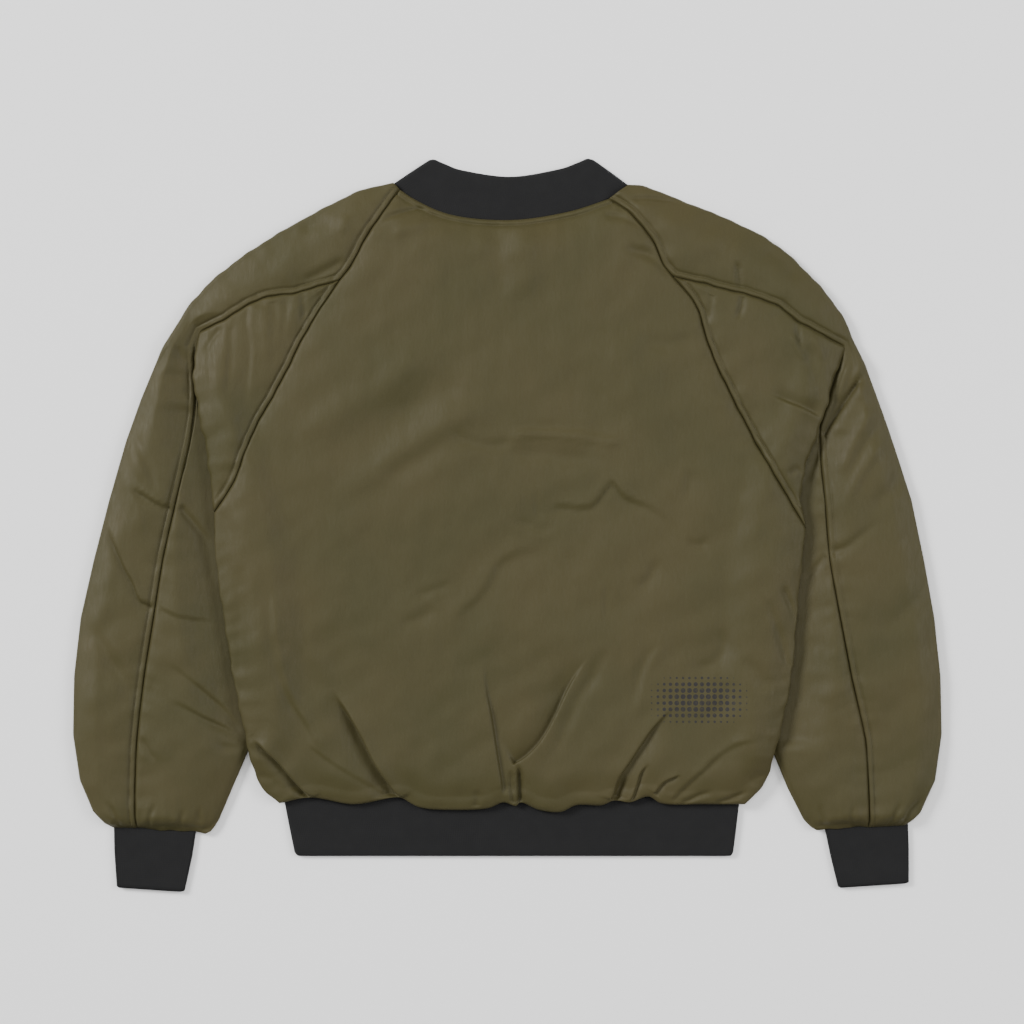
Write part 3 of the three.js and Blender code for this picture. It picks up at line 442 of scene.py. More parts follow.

# %% Creases, listed one by one
# Each row: height, half width, share of the length that fades in and out, and the points.
CREASES = [
    # creases at the waist
    (1.1, 9, 0.4, 0.5, [(-183, -172), (-195, -146), (-209, -127), (-220, -112)]),
    (-1.2, 3, 0.05, 0.5, [(-208, -286), (-220, -276), (-235, -271)]),
    (-5.2, 2.4, 0.3, 0.02, [(12, -250), (13, -269), (13, -293)]),
    (-2.4, 2.2, 0.3, 0.02, [(4, -254), (4, -269), (6, -291)]),
    (-1.7, 7, 0.35, 0.35, [(120, -118), (97, -141), (87, -162), (74, -180), (64, -204),
       (55, -225), (39, -254)]),
    (-2.2, 2.6, 0.02, 0.4, [(113, -289), (120, -271), (125, -262)]),
    (-1.8, 3, 0.02, 0.4, [(184, -291), (202, -282), (216, -279)]),
    (-1.8, 3, 0.02, 0.4, [(220, -291), (239, -284), (254, -277)]),
    (-1.6, 3, 0.02, 0.4, [(261, -288), (269, -275), (274, -259)]),
    (-1.4, 3, 0.02, 0.4, [(-33, -294), (-31, -284), (-35, -275)]),
    (-1.4, 8, 0.3, 0.3, [(242, -136), (260, -154), (275, -176)]),
    (-1.5, 7, 0.3, 0.3, [(225, -105), (225, -130), (215, -145), (190, -150)]),
    # creases at the side
    (-1.5, 3.5, 0.3, 0.2, [(271, -74), (282, -109), (292, -141), (299, -156)]),
    (-2, 3, 0.2, 0.05, [(287, -62), (298, -88), (304, -102)]),
    (-1.6, 8, 0.2, 0.3, [(-281, -36), (-278, -88), (-281, -141), (-283, -183)]),
    # creases at the middle
    (1.5, 4, 0.15, 0.1, [(-2, 92), (13, 96), (39, 96), (71, 94), (97, 90), (112, 89), (122, 95)]),
    (-1.3, 9, 0.3, 0.3, [(-29, 81), (3, 76), (55, 73), (97, 68), (118, 80)]),
    (-0.6, 3, 0.2, 0.2, [(-5, 102), (45, 104), (99, 102)]),
    (-1.3, 5, 0.2, 0.2, [(-56, 103), (-48, 90), (-29, 85), (-8, 84), (6, 91)]),
    (2.2, 15, 0.3, 0.4, [(-6, 119), (-50, 116), (-71, 106), (-92, 90), (-118, 74), (-142, 57),
       (-176, 33)]),
    (-1.1, 17, 0.3, 0.3, [(-55, 134), (-102, 124), (-129, 106), (-165, 80), (-199, 56)]),
    (-1.2, 11, 0.3, 0.3, [(-58, 89), (-87, 73), (-113, 60), (-138, 45)]),
    (-0.9, 2.6, 0.2, 0.1, [(31, 40), (31, 22), (32, 6)]),
    (-1, 4, 0.3, 0.2, [(-102, -77), (-81, -69), (-57, -60)]),
    (-1.2, 7, 0.3, 0.3, [(-117, -106), (-92, -97), (-72, -83)]),
    (-1.3, 6, 0.3, 0.3, [(136, -71), (150, -53), (158, -32)]),
    (-1.2, 6, 0.3, 0.3, [(194, 61), (190, 43), (188, 24)]),
    (-1.3, 4, 0.3, 0.3, [(186, -14), (197, -21), (212, -15)]),
    (2.2, 16, 0.3, 0.4, [(-64, 191), (-102, 169), (-139, 143), (-181, 111), (-233, 71)]),
    (-1.4, 14, 0.3, 0.3, [(-39, 153), (-81, 132), (-117, 107)]),
    (1.4, 14, 0.1, 0.4, [(13, 319), (16, 277), (13, 232)]),
    (-1, 10, 0.2, 0.4, [(-8, 313), (-10, 277), (-5, 237)]),
    (1.3, 20, 0.3, 0.3, [(97, 206), (139, 143), (169, 80)]),
    (-1.3, 20, 0.3, 0.3, [(55, 185), (87, 132), (108, 80)]),
    # creases at the neck
    (-2.0, 2.6, 0.05, 0.4, [(-131, 321), (-113, 327), (-92, 332), (-67, 333)]),
    (0.9, 6, 0.1, 0.4, [(-121, 304), (-92, 316), (-58, 320)]),
    (-1.4, 3, 0.2, 0.05, [(100, 325), (118, 323), (137, 316)]),
    (-2.2, 5, 0.3, 0.05, [(118, 290), (144, 285), (160, 276), (171, 265)]),
    (-1.8, 3.0, 0.1, 0.4, [(129, 342), (160, 342), (196, 334)]),
    (-1.2, 8, 0.3, 0.2, [(135, 197), (165, 190), (196, 196)]),
    # creases at the shoulder
    (-1.7, 3, 0.05, 0.4, [(-216, 245), (-213, 227), (-214, 209)]),
    (-1.1, 2.6, 0.05, 0.4, [(-198, 248), (-195, 235), (-199, 222)]),
    (-0.9, 5, 0.05, 0.5, [(-247, 235), (-243, 216), (-248, 182)]),
    (-1.0, 4, 0.1, 0.5, [(-289, 212), (-290, 170), (-296, 119)]),
    (-0.9, 4, 0.1, 0.5, [(-230, 243), (-232, 222), (-238, 186)]),
    (-0.8, 4, 0.2, 0.4, [(-311, 190), (-312, 170), (-309, 130)]),
    (-0.8, 5, 0.2, 0.4, [(-281, 120), (-276, 90), (-280, 60)]),
    (0.8, 6, 0.1, 0.4, [(-258, 232), (-253, 195), (-254, 151)]),
    (-1.2, 3, 0.2, 0.2, [(-317, 181), (-309, 196), (-299, 209)]),
    (-1.3, 8, 0.3, 0.3, [(-302, 282), (-281, 290), (-256, 287)]),
    (-1.1, 8, 0.3, 0.3, [(-220, 307), (-197, 316), (-176, 312)]),
    (0.9, 5, 0.3, 0.3, [(-169, 327), (-173, 304)]),
    (-1.7, 5, 0.3, 0.1, [(-220, 252), (-192, 266), (-170, 278)]),
    (-2.4, 2.4, 0.3, 0.02, [(240, 279), (242, 263), (244, 245)]),
    (-2.2, 2.6, 0.02, 0.4, [(246, 240), (244, 227), (239, 213)]),
    (-1.3, 3, 0.05, 0.4, [(214, 242), (212, 227), (208, 206)]),
    (-2.4, 2.4, 0.02, 0.5, [(305, 213), (304, 204), (305, 194), (308, 178)]),
    (1.3, 3.4, 0.2, 0.3, [(297, 201), (306, 181), (314, 170)]),
    (1.3, 3.4, 0.2, 0.3, [(319, 202), (328, 181), (331, 170)]),
    (-1.6, 7, 0.3, 0.3, [(312, 192), (320, 164), (323, 140)]),
    (-1.2, 9, 0.3, 0.3, [(265, 290), (291, 277), (307, 253)]),
    (-1.6, 3, 0.3, 0.1, [(292, 52), (304, 59), (309, 49)]),
    # creases at the sleeve
    (-2.2, 4, 0.05, 0.5, [(-344, 20), (-331, 5), (-318, -12), (-306, -27)]),
    (-1.8, 7, 0.3, 0.4, [(-438, -99), (-423, -128), (-405, -157), (-389, -181)]),
    (0.9, 5, 0.3, 0.3, [(-403, 94), (-388, 64), (-373, 38)]),
    (-1.2, 4, 0.3, 0.3, [(-392, 101), (-375, 61), (-365, 33)]),
    (0.9, 5, 0.3, 0.3, [(-410, 77), (-401, 48), (-388, 22), (-379, -23)]),
    (-0.8, 4, 0.3, 0.3, [(-417, 50), (-405, 22), (-391, -18)]),
    (-1.8, 4, 0.05, 0.4, [(-271, -229), (-287, -233), (-310, -229)]),
    (-2, 7, 0.3, 0.3, [(-323, 0), (-314, -31), (-307, -70)]),
    (-1.2, 3, 0.1, 0.3, [(-384, -222), (-375, -237), (-368, -247)]),
    (-2.4, 3.4, 0.3, 0.02, [(-356, 218), (-342, 201), (-325, 183)]),
    (-1.8, 4, 0.3, 0.05, [(-350, 192), (-338, 173), (-326, 156)]),
    (-1.5, 3.4, 0.3, 0.05, [(-340, 147), (-331, 135), (-325, 128)]),
    (-3.8, 4.4, 0.3, 0.05, [(376, 162), (362, 139), (349, 119), (332, 92)]),
    (-3, 5, 0.05, 0.3, [(328, 85), (320, 64), (309, 39)]),
    (-2, 4, 0.1, 0.4, [(355, 185), (362, 169), (356, 148), (347, 125)]),
    (-2.1, 4, 0.05, 0.6, [(338, -29), (354, -23), (372, -9), (393, 9)]),
    (-1.9, 4, 0.05, 0.4, [(335, -32), (323, -44), (308, -61)]),
    (1.7, 5, 0.3, 0.4, [(389, 130), (372, 106), (358, 80), (344, 44)]),
    (1.5, 5, 0.3, 0.4, [(404, 101), (379, 69), (360, 38), (350, 8)]),
    (-1.3, 4, 0.3, 0.4, [(395, 115), (372, 80), (351, 35)]),
    (-1.2, 8, 0.3, 0.4, [(421, 63), (391, 27), (368, 9)]),
    (-1.2, 9, 0.3, 0.4, [(438, -67), (407, -99), (379, -116)]),
    (1, 10, 0.3, 0.4, [(323, -185), (349, -172), (372, -170)]),
    # creases at the cuff
    (-1.9, 3, 0.02, 0.5, [(414, -313), (425, -296), (438, -283)]),
    (-1.5, 3, 0.02, 0.5, [(401, -315), (407, -300), (415, -288)]),
    (-1.4, 3, 0.02, 0.5, [(428, -307), (442, -290), (449, -273)]),
    (-1.5, 3, 0.02, 0.5, [(316, -314), (307, -296), (304, -284)]),
    (-1.3, 3, 0.02, 0.5, [(332, -317), (328, -301), (329, -288)]),
    (-1.3, 3, 0.02, 0.5, [(362, -317), (360, -303), (363, -291)]),
    (-1.5, 3, 0.02, 0.5, [(-407, -317), (-412, -301), (-422, -286)]),
    (-1.3, 2.6, 0.02, 0.5, [(-388, -319), (-385, -305), (-386, -294)]),
    (-1.6, 2.6, 0.02, 0.5, [(-377, -319), (-373, -301), (-367, -288)]),
    (-1.3, 3, 0.02, 0.5, [(-349, -322), (-342, -307), (-338, -294)]),
    (-1.3, 3, 0.02, 0.5, [(-317, -322), (-323, -304), (-320, -291)]),
]
FOLD_PATHS = [
    (np.array(sizes) * MM, fade_in, fade_out, smooth_line(points, 30))
    for *sizes, fade_in, fade_out, points in FOLDS
]
CREASE_PATHS = [
    (height * MM, width * MM, fade_in, fade_out, smooth_line(points, 20))
    for height, width, fade_in, fade_out, points in CREASES
]
print("folds", len(FOLDS), "creases", len(CREASES))

# %% [markdown]
# A deep fold also rolls over: its edge hangs sideways over the valley, and the valley runs a
# little under the roll. The depths in the tables are scaled by one factor each.


# %% Relief of the folds and creases
def near_path(path, reach, x, y):
    """Which points may be closer to a path than reach."""
    low = path.min(0) - reach
    high = path.max(0) + reach
    return (x > low[0]) & (x < high[0]) & (y > low[1]) & (y < high[1])


def along_path(path, fade_in, fade_out, x, y):
    """Distance to a path, share of it walked, its side, and the fade at both ends."""
    away, walked, side = nearest(path, x, y)
    share = walked / steps_of(path).sum()
    return away, share, side, ease(share / fade_in) * ease((1 - share) / fade_out)


FOLD_DEPTH = 1.3
CREASE_DEPTH = 1.5
BELL_REACH = 2.6
ROLLING_VALLEY = 2.4 * MM
FULL_VALLEY = 6 * MM
OVERHANG = 2.6 * MM
OVERHANG_WIDTH = 7 * MM
UNDERCUT = 1.2 * MM


def roll_over(x, y):
    """How far a roll of cloth hangs over its valley, and the valley runs under it, sideways."""
    moved = np.zeros((2, *x.shape))
    for (_, valley, roll_width, _, edge), fade_in, fade_out, path in FOLD_PATHS:
        close = near_path(path, 2 * roll_width, x, y)
        if valley < ROLLING_VALLEY or not close.any():
            continue
        away, share, side, fades = along_path(path, fade_in, fade_out, x[close], y[close])
        places = np.linspace(0, 1, len(path))
        left = leftward(path)
        over = 0.5 + 0.5 * np.tanh(side * away / edge)
        falls = np.exp(-((away / OVERHANG_WIDTH) ** 2))
        fades = fades * np.minimum(valley / FULL_VALLEY, 1)
        step = fades * falls * ((1 - over) * UNDERCUT - over * OVERHANG)
        for k in (0, 1):
            moved[k][close] += np.interp(share, places, left[:, k]) * step
    return moved


def creases(x, y):
    """The sum of all folds and creases, which fade out at both ends."""
    total = np.zeros(x.shape)
    for (roll, valley, roll_width, valley_width, edge), fade_in, fade_out, path in FOLD_PATHS:
        close = near_path(path, BELL_REACH * max(roll_width, valley_width), x, y)
        if close.any():
            away, _, side, fades = along_path(path, fade_in, fade_out, x[close], y[close])
            over = 0.5 + 0.5 * np.tanh(side * away / edge)
            raised = over * roll * np.exp(-((away / roll_width) ** 2))
            rises = np.exp(-((away / (0.85 * valley_width)) ** 1.4))
            total[close] += fades * (raised - (1 - over) * FOLD_DEPTH * valley * rises)
    for height, width, fade_in, fade_out, path in CREASE_PATHS:
        close = near_path(path, BELL_REACH * width, x, y)
        if close.any():
            away, _, _, fades = along_path(path, fade_in, fade_out, x[close], y[close])
            total[close] += CREASE_DEPTH * height * fades * np.exp(-((away / width) ** 2))
    return total


# %% Small wrinkles
def cloud(x, y, size, seed):
    """Smooth noise from -1 to 1 with bumps of about that size, from a seeded table of slopes."""
    slopes = np.random.RandomState(seed).uniform(-1, 1, (2, 64, 64))
    column_at, row_at = x / size, y / size
    i, j = np.floor(column_at).astype(int), np.floor(row_at).astype(int)
    s, t = column_at - i, row_at - j

    def corner(di, dj):
        a, b = (i + di) % 64, (j + dj) % 64
        return slopes[0][a, b] * (s - di) + slopes[1][a, b] * (t - dj)

    ws, wt = (q * q * q * (q * (6 * q - 15) + 10) for q in (s, t))
    low = corner(0, 0) * (1 - ws) + corner(1, 0) * ws
    high = corner(0, 1) * (1 - ws) + corner(1, 1) * ws
    return 1.6 * (low * (1 - wt) + high * wt)


def puckers(x, y, lines, seed):
    """Short wrinkles that cross a seam: they follow its length and die out away from it."""
    total = np.zeros(x.shape)
    for k, line in enumerate(lines):
        away, along, _ = nearest(line[::3], x, y)
        reach = np.exp(-away / (15 * MM)) * ease(away / (5 * MM))
        slant = along + 0.35 * away * np.sin(along / (70 * MM) + k)
        total += reach * cloud(slant, away * 0.18, 13 * MM, seed + k) * 1.5 * MM
    return total


def rumple(x, y, seed):
    """Broad uneven swelling of the wadding, and a finer unrest of the cloth on it."""
    broad = cloud(x, y, 95 * MM, seed) * 2.0 * MM
    slanted = cloud(0.8 * x + 0.6 * y, 2.2 * (0.8 * y - 0.6 * x), 56 * MM, seed + 1) * 1.1 * MM
    upright = cloud(1.8 * x, 0.5 * y, 30 * MM, seed + 2) * 0.5 * MM
    return broad + slanted + upright + cloud(x, y, 19 * MM, seed + 3) * 0.3 * MM


# %% [markdown]
# A seam is a narrow groove. The seam allowances are turned to one side of it and stitched down,
# 6 mm away: a welt, which is flatter than the wadding beyond it. It lies on the sleeve along the
# raglan, above the sleeve seam, outboard on the lower sleeve, and on the back under the collar.

# %% Seams, welts and topstitching
WELT = 6.4 * MM
WELT_RISE = 0.5 * MM
WELT_EDGE = 1.6 * MM
STITCHED = 0.7 * MM
NECK_STITCHED = 1.5 * MM
SEAM_DEPTH = 2.0 * MM
GROOVE = 1.1 * MM
LEAST_LAYER = 1.0 * MM
BODY_SEAMS = [(NECK, -1, NECK_STITCHED)]
for side in SIDES:
    for name in ("upper_raglan", "lower_raglan"):
        BODY_SEAMS.append((side["lines"][name], side["sign"], STITCHED))
    BODY_SEAMS.append((side["lines"]["sleeve_seam"], side["sign"], STITCHED))


def seam_relief(seams, x, y):
    """How far the nearest seam is, how far the nearest welt or seam, and the relief of both."""
    near = np.full(x.shape, 1.0)
    beyond = near.copy()
    relief = np.zeros(x.shape)
    for line, toward, depth in seams:
        away, along, side = nearest(line[::2], x, y)
        welted = (side == toward) & (along > 0) & (along < steps_of(line[::2]).sum())
        near = np.minimum(near, away)
        beyond = np.minimum(beyond, np.where(welted, np.maximum(away - WELT, 0), away))
        ends = 1 - ease((away - WELT + WELT_EDGE) / WELT_EDGE)
        band = WELT_RISE * ease(away / (1.5 * MM)) * ends
        stitched = -depth * np.exp(-(((away - WELT) / GROOVE) ** 2))
        relief += np.where(welted, band + stitched, 0)
    return near, beyond, relief - SEAM_DEPTH * np.exp(-((near / GROOVE) ** 2))


def loft_of(edge_wall, fullness, beyond):
    """The wadding's height, from how full it is at the panel's edge and beyond the welts."""
    at_edge = edge_wall + (FULL_WALL - edge_wall) * fullness
    at_seam = SEAM_WALL + (FULL_WALL - SEAM_WALL) * puff(beyond / SEAM_REACH)
    return lower_of(at_edge, at_seam)


def unrest(free, seed, x, y):
    """Creases and uneven swelling, weaker where a seam or edge is near."""
    return (creases(x, y) + rumple(x, y, seed)) * (0.3 + 0.7 * ease(free / (12 * MM)))


def body_top(x, y):
    """The jacket's upper face, from the wadding's loft, the creases, the puckers and the welts."""
    sides, hem = to_outline(x, y)
    near, beyond, relief = seam_relief(BODY_SEAMS, x, y)
    outline = np.minimum(sides, 2.4 * hem)
    loft = loft_of(RIM_WALL, puff(outline / BODY_REACH), beyond)
    free = np.minimum(outline, near)
    lines = [seam[0] for seam in BODY_SEAMS] + [side["lines"]["body_edge"] for side in SIDES]
    pulled = puckers(x, y, lines, 31)
    change = (unrest(free, 11, x, y) + pulled) * ease(free / (3 * MM)) + relief
    return body_lining(x, y, (sides, hem)) + np.maximum(loft + change, LEAST_LAYER)


# %% [markdown]
# ## From a grid to a panel
# A panel starts as a flat grid of cells. Extruding all its faces gives a second layer and the rim
# between them, so the piece is closed. Then each layer is laid at its own height. Layer 1 is the
# shell and layer 0 the lining.

# %% Panels from grids
def two_layers(name, across, up):
    """A closed block of two layers of cells, with a UV map of 0 to 1 across and up."""
    made = bmesh.new()
    made.loops.layers.uv.new("cut")
    bmesh.ops.create_grid(made, x_segments=across, y_segments=up, size=0.5, calc_uvs=True)
    raised = bmesh.ops.extrude_face_region(made, geom=made.faces[:], use_keep_orig=True)
    top = [item for item in raised["geom"] if isinstance(item, bmesh.types.BMVert)]
    bmesh.ops.translate(made, vec=(0, 0, 1), verts=top)
    bmesh.ops.recalc_face_normals(made, faces=made.faces[:])
    return make_object(name, made)


FINE_REACH = 9 * MM
FINE_VALLEY = 2.7 * MM


def finer_at_folds(piece, place):
    """Halves the shell's cells along the deep folds, so that their edges run smoothly."""
    made = bmesh.new()
    made.from_mesh(piece.data)
    shell = [vert for vert in made.verts if vert.co.z > 0.5]
    across = np.array([vert.co.x + 0.5 for vert in shell])
    up = np.array([vert.co.y + 0.5 for vert in shell])
    x, y, _ = place(np.clip(across, 0, 1), np.clip(up, 0, 1), np.ones(len(shell), bool))
    at_fold = np.zeros(len(shell), bool)
    for (_, valley, *_), _, _, fold in FOLD_PATHS:
        close = near_path(fold, FINE_REACH, x, y)
        if valley > FINE_VALLEY and close.any():
            at_fold[close] |= nearest(fold, x[close], y[close])[0] < FINE_REACH
    chosen = {vert for vert, wanted in zip(shell, at_fold) if wanted}
    edges = [edge for edge in made.edges if chosen.issuperset(edge.verts)]
    bmesh.ops.subdivide_edges(made, edges=edges, cuts=1, use_grid_fill=True)
    made.to_mesh(piece.data)
    made.free()
    print(piece.name, "cells halved at folds", len(edges))
    return piece


def smooth(piece):
    for polygon in piece.data.polygons:
        polygon.use_smooth = True
    return piece


def lay(piece, place):
    """Moves each point to place(u, v, layer), which gives x, y and z."""
    data = piece.data
    flat = np.zeros(len(data.vertices) * 3, np.float32)
    data.vertices.foreach_get("co", flat)
    flat = flat.reshape(-1, 3).astype(float)
    u, v, layer = flat[:, 0] + 0.5, flat[:, 1] + 0.5, flat[:, 2] > 0.5
    x, y, z = place(np.clip(u, 0, 1), np.clip(v, 0, 1), layer)
    data.vertices.foreach_set("co", np.stack([x, y, z], axis=1).ravel().astype(np.float32))
    data.update()
    checked = bmesh.new()
    checked.from_mesh(data)
    if checked.calc_volume(signed=True) < 0:
        bmesh.ops.reverse_faces(checked, faces=checked.faces[:])
        checked.to_mesh(data)
    checked.free()
    return smooth(piece)


def finish_piece(piece, node, material):
    """Puts a piece in its CAD node's place."""
    piece.data.materials.append(material)
    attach(piece, "root")
    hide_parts(node)
    print(piece.name, "faces", len(piece.data.polygons))


# %% [markdown]
# ## Materials
# The shell is a matt-washed nylon: a tight plain weave with a soft sheen, and soft patches at
# random that are a little lighter. The ribs are a fine acrylic knit. The effects that several
# cloths share are node groups.

# %% Shader helpers
def new_group(name, inputs, outputs):
    group = bpy.data.node_groups.new(name, "ShaderNodeTree")
    for socket, kind, value in inputs:
        made = group.interface.new_socket(socket, in_out="INPUT", socket_type=kind)
        made.default_value = value
    for socket, kind in outputs:
        group.interface.new_socket(socket, in_out="OUTPUT", socket_type=kind)
    return group


def feed(tree, socket, value):
    """Links an input to another node's output, or sets it to a value."""
    if isinstance(value, bpy.types.NodeSocket):
        tree.links.new(value, socket)
    else:
        socket.default_value = value


def node(tree, kind, **values):
    """A node with its settings and inputs by name. An input takes a value or an output."""
    made = tree.nodes.new(kind)
    for key, value in values.items():
        if hasattr(made, key):
            setattr(made, key, value)
        else:
            feed(tree, made.inputs[key.replace("_", " ")], value)
    return made


def use_group(tree, group, **values):
    """A node that holds a group, with the group's inputs by name."""
    made = tree.nodes.new("ShaderNodeGroup")
    made.node_tree = group
    for key, value in values.items():
        feed(tree, made.inputs[key], value)
    return made


# %% Short forms of nodes that come up often
def math_node(tree, operation, *values):
    """The result of a math node on outputs or numbers."""
    made = node(tree, "ShaderNodeMath", operation=operation)
    for socket, value in zip(made.inputs, values):
        feed(tree, socket, value)
    return made.outputs["Value"]


def own_place(tree):
    """The place on the piece in its own frame, in metres."""
    return node(tree, "ShaderNodeTexCoord").outputs["Object"]


def noise(tree, place, **values):
    return node(tree, "ShaderNodeTexNoise", Vector=place, **values).outputs["Fac"]


def stretched_noise(tree, place, scale, **values):
    """A noise with a scale of its own in each direction."""
    moved = node(tree, "ShaderNodeMapping", Vector=place, Scale=scale).outputs["Vector"]
    return noise(tree, moved, Scale=1.0, **values)


def mapped(tree, value, source, target):
    """A value taken from one range to another."""
    made = node(tree, "ShaderNodeMapRange", Value=value, From_Min=source[0], From_Max=source[1],
                To_Min=target[0], To_Max=target[1])
    return made.outputs["Result"]


def mixed(tree, factor, first, second):
    """A mix of two colours. The mix node tells its colour sockets apart by number only."""
    made = node(tree, "ShaderNodeMix", data_type="RGBA", Factor=factor)
    feed(tree, made.inputs[6], first)
    feed(tree, made.inputs[7], second)
    return made.outputs[2]


def set_shader(material, looks):
    """Sets or links inputs of a material's Principled shader."""
    tree = material.node_tree
    for key, value in looks.items():
        feed(tree, tree.nodes["Principled BSDF"].inputs[key], value)


# %% Woven cloth, a node group
def cloth_group(name, numbers, grey, rubbed):
    """A cloth's group: numbers and two colours go in, and out comes what changes over the cloth."""
    return new_group(
        name,
        [*[(key, "NodeSocketFloat", value) for key, value in numbers.items()],
         ("Color", "NodeSocketColor", (grey, grey, grey, 1)),
         ("Rubbed", "NodeSocketColor", (rubbed, rubbed, rubbed, 1))],
        [("Color", "NodeSocketColor"), ("Roughness", "NodeSocketFloat"),
         ("Height", "NodeSocketFloat")],
    )


weave = cloth_group("woven_cloth", {"Thread": 2600.0, "Unrest": 60.0}, 0.1, 0.2)
given = node(weave, "NodeGroupInput").outputs
place = own_place(weave)
crinkle = stretched_noise(weave, place, (80.0, 38.0, 60.0), Detail=4.0, Roughness=0.62)
streaks = stretched_noise(weave, place, (420.0, 80.0, 200.0), Detail=3.0, Roughness=0.6)
clouds = noise(weave, place, Scale=given["Unrest"], Detail=3.0, Roughness=0.5)
warp, weft = (
    node(weave, "ShaderNodeTexWave", bands_direction=direction, Vector=place,
         Scale=given["Thread"], Distortion=0.4, Detail=1.0).outputs["Fac"]
    for direction in "XY"
)
threads = math_node(weave, "MULTIPLY", math_node(weave, "MULTIPLY", warp, weft), 0.03)
fine = math_node(weave, "MULTIPLY_ADD", streaks, 0.22, threads)
tone = mapped(weave, clouds, (0.32, 0.68), (0.0, 1.0))
node(weave, "NodeGroupOutput",
     Color=mixed(weave, tone, given["Color"], given["Rubbed"]),
     Roughness=mapped(weave, streaks, (0.3, 0.7), (0.52, 0.64)),
     Height=math_node(weave, "ADD", crinkle, fine))
print("woven cloth group has", len(weave.nodes), "nodes")


# %% The cloth materials
BUMP_HEIGHT = 0.0016


def new_material(name):
    made = bpy.data.materials.new(name)
    made.use_nodes = True
    return made


def cloth_material(name, group, values, bump, sheen, sheen_color):
    """A cloth shader: its group makes what changes over the cloth, the rest is set on the shader."""
    made = new_material(name)
    cloth = use_group(made.node_tree, group, **values).outputs
    raised = node(made.node_tree, "ShaderNodeBump", Strength=bump, Distance=BUMP_HEIGHT,
                  Height=cloth["Height"])
    set_shader(made, {
        "Normal": raised.outputs["Normal"], "Base Color": cloth["Color"],
        "Roughness": cloth["Roughness"], "Sheen Weight": sheen, "Sheen Roughness": 0.5,
        "Sheen Tint": sheen_color, "Specular IOR Level": 0.22,
    })
    return made


def weave_values(thread, unrest, color, rubbed):
    return {"Thread": thread, "Unrest": unrest, "Color": (*color, 1), "Rubbed": (*rubbed, 1)}


OLIVE_SHEEN = (0.5, 0.45, 0.3, 1)
nylon_look = (
    weave, weave_values(1300.0, 9.0, (0.0388, 0.0346, 0.0109), (0.0462, 0.0386, 0.0134)),
    0.36, 0.05, OLIVE_SHEEN,
)
nylon = cloth_material("olive_nylon", *nylon_look)
tape_cloth = cloth_material(
    "zip_tape_weave", weave,
    weave_values(700.0, 40.0, (0.009, 0.009, 0.008), (0.014, 0.014, 0.012)),
    0.15, 0.05, (0.5, 0.5, 0.5, 1),
)

# %% [markdown]
# The back has a small tonal print at its lower right. Here it is a plain field of printed dots,
# which get smaller towards the rim. Ink lies flat on the cloth, so it changes only the colour, and
# the cloth's weave and folds go on through it.

# %% The printed dots
PRINT_CENTRE = (200 * MM, -182 * MM)
PRINT_HALF = (56 * MM, 29 * MM)
dots = new_group(
    "printed_dots", [("Pitch", "NodeSocketFloat", 0.0066)], [("Ink", "NodeSocketFloat")],
)
pitch = node(dots, "NodeGroupInput").outputs["Pitch"]
place = own_place(dots)
parts = node(dots, "ShaderNodeSeparateXYZ", Vector=place).outputs
from_dot = []
from_middle = []
for axis, centre, half in zip("XY", PRINT_CENTRE, PRINT_HALF):
    offset = math_node(dots, "SUBTRACT", parts[axis], centre)
    cell = math_node(dots, "FRACT", math_node(dots, "DIVIDE", offset, pitch))
    from_dot.append(math_node(dots, "POWER", math_node(dots, "SUBTRACT", cell, 0.5), 2.0))
    share = math_node(dots, "ABSOLUTE", math_node(dots, "DIVIDE", offset, half))
    from_middle.append(math_node(dots, "POWER", share, 3.0))
distance = math_node(dots, "SQRT", math_node(dots, "ADD", *from_dot))
fade = math_node(dots, "ADD", *from_middle)
radius = math_node(dots, "MULTIPLY", math_node(dots, "SUBTRACT", 1.0, fade), 0.40)
ink = math_node(dots, "LESS_THAN", distance, radius)
worn = noise(dots, place, Scale=260.0, Detail=3.0)
hold = mapped(dots, worn, (0.3, 0.5), (0.45, 0.92))
node(dots, "NodeGroupOutput", Ink=math_node(dots, "MULTIPLY", ink, hold))

# %% The back's nylon, with the print
INK = (0.0125, 0.0115, 0.0135, 1)
printed_nylon = cloth_material("printed_nylon", *nylon_look)
tree = printed_nylon.node_tree
cloth_color = tree.nodes["Principled BSDF"].inputs["Base Color"].links[0].from_socket
inked = mixed(tree, use_group(tree, dots).outputs["Ink"], cloth_color, INK)
set_shader(printed_nylon, {"Base Color": inked})


# %% Rib knit, a node group
def wave_of(tree, value, count):
    """A cosine of a coordinate that has count waves from 0 to 1."""
    turns = math_node(tree, "MULTIPLY", value, count)
    return math_node(tree, "COSINE", math_node(tree, "MULTIPLY", turns, 2 * math.pi))


knit = cloth_group("rib_knit", {"Ribs": 200.0, "Rows": 40.0}, 0.02, 0.03)
given = node(knit, "NodeGroupInput").outputs
cut = node(knit, "ShaderNodeUVMap", uv_map="cut").outputs["UV"]
parts = node(knit, "ShaderNodeSeparateXYZ", Vector=cut).outputs
rib_wave = wave_of(knit, parts["X"], given["Ribs"])
row_wave = wave_of(knit, parts["Y"], given["Rows"])
fuzz = noise(knit, own_place(knit), Scale=70.0, Detail=4.0)
node(knit, "NodeGroupOutput",
     Color=mixed(knit, fuzz, given["Color"], given["Rubbed"]),
     Roughness=mapped(knit, fuzz, (0.3, 0.7), (0.82, 0.95)),
     Height=math_node(knit, "MULTIPLY_ADD", row_wave, 0.3, rib_wave))
RIB_COLORS = {"Color": (0.0062, 0.0062, 0.0064, 1), "Rubbed": (0.0100, 0.0100, 0.0103, 1)}


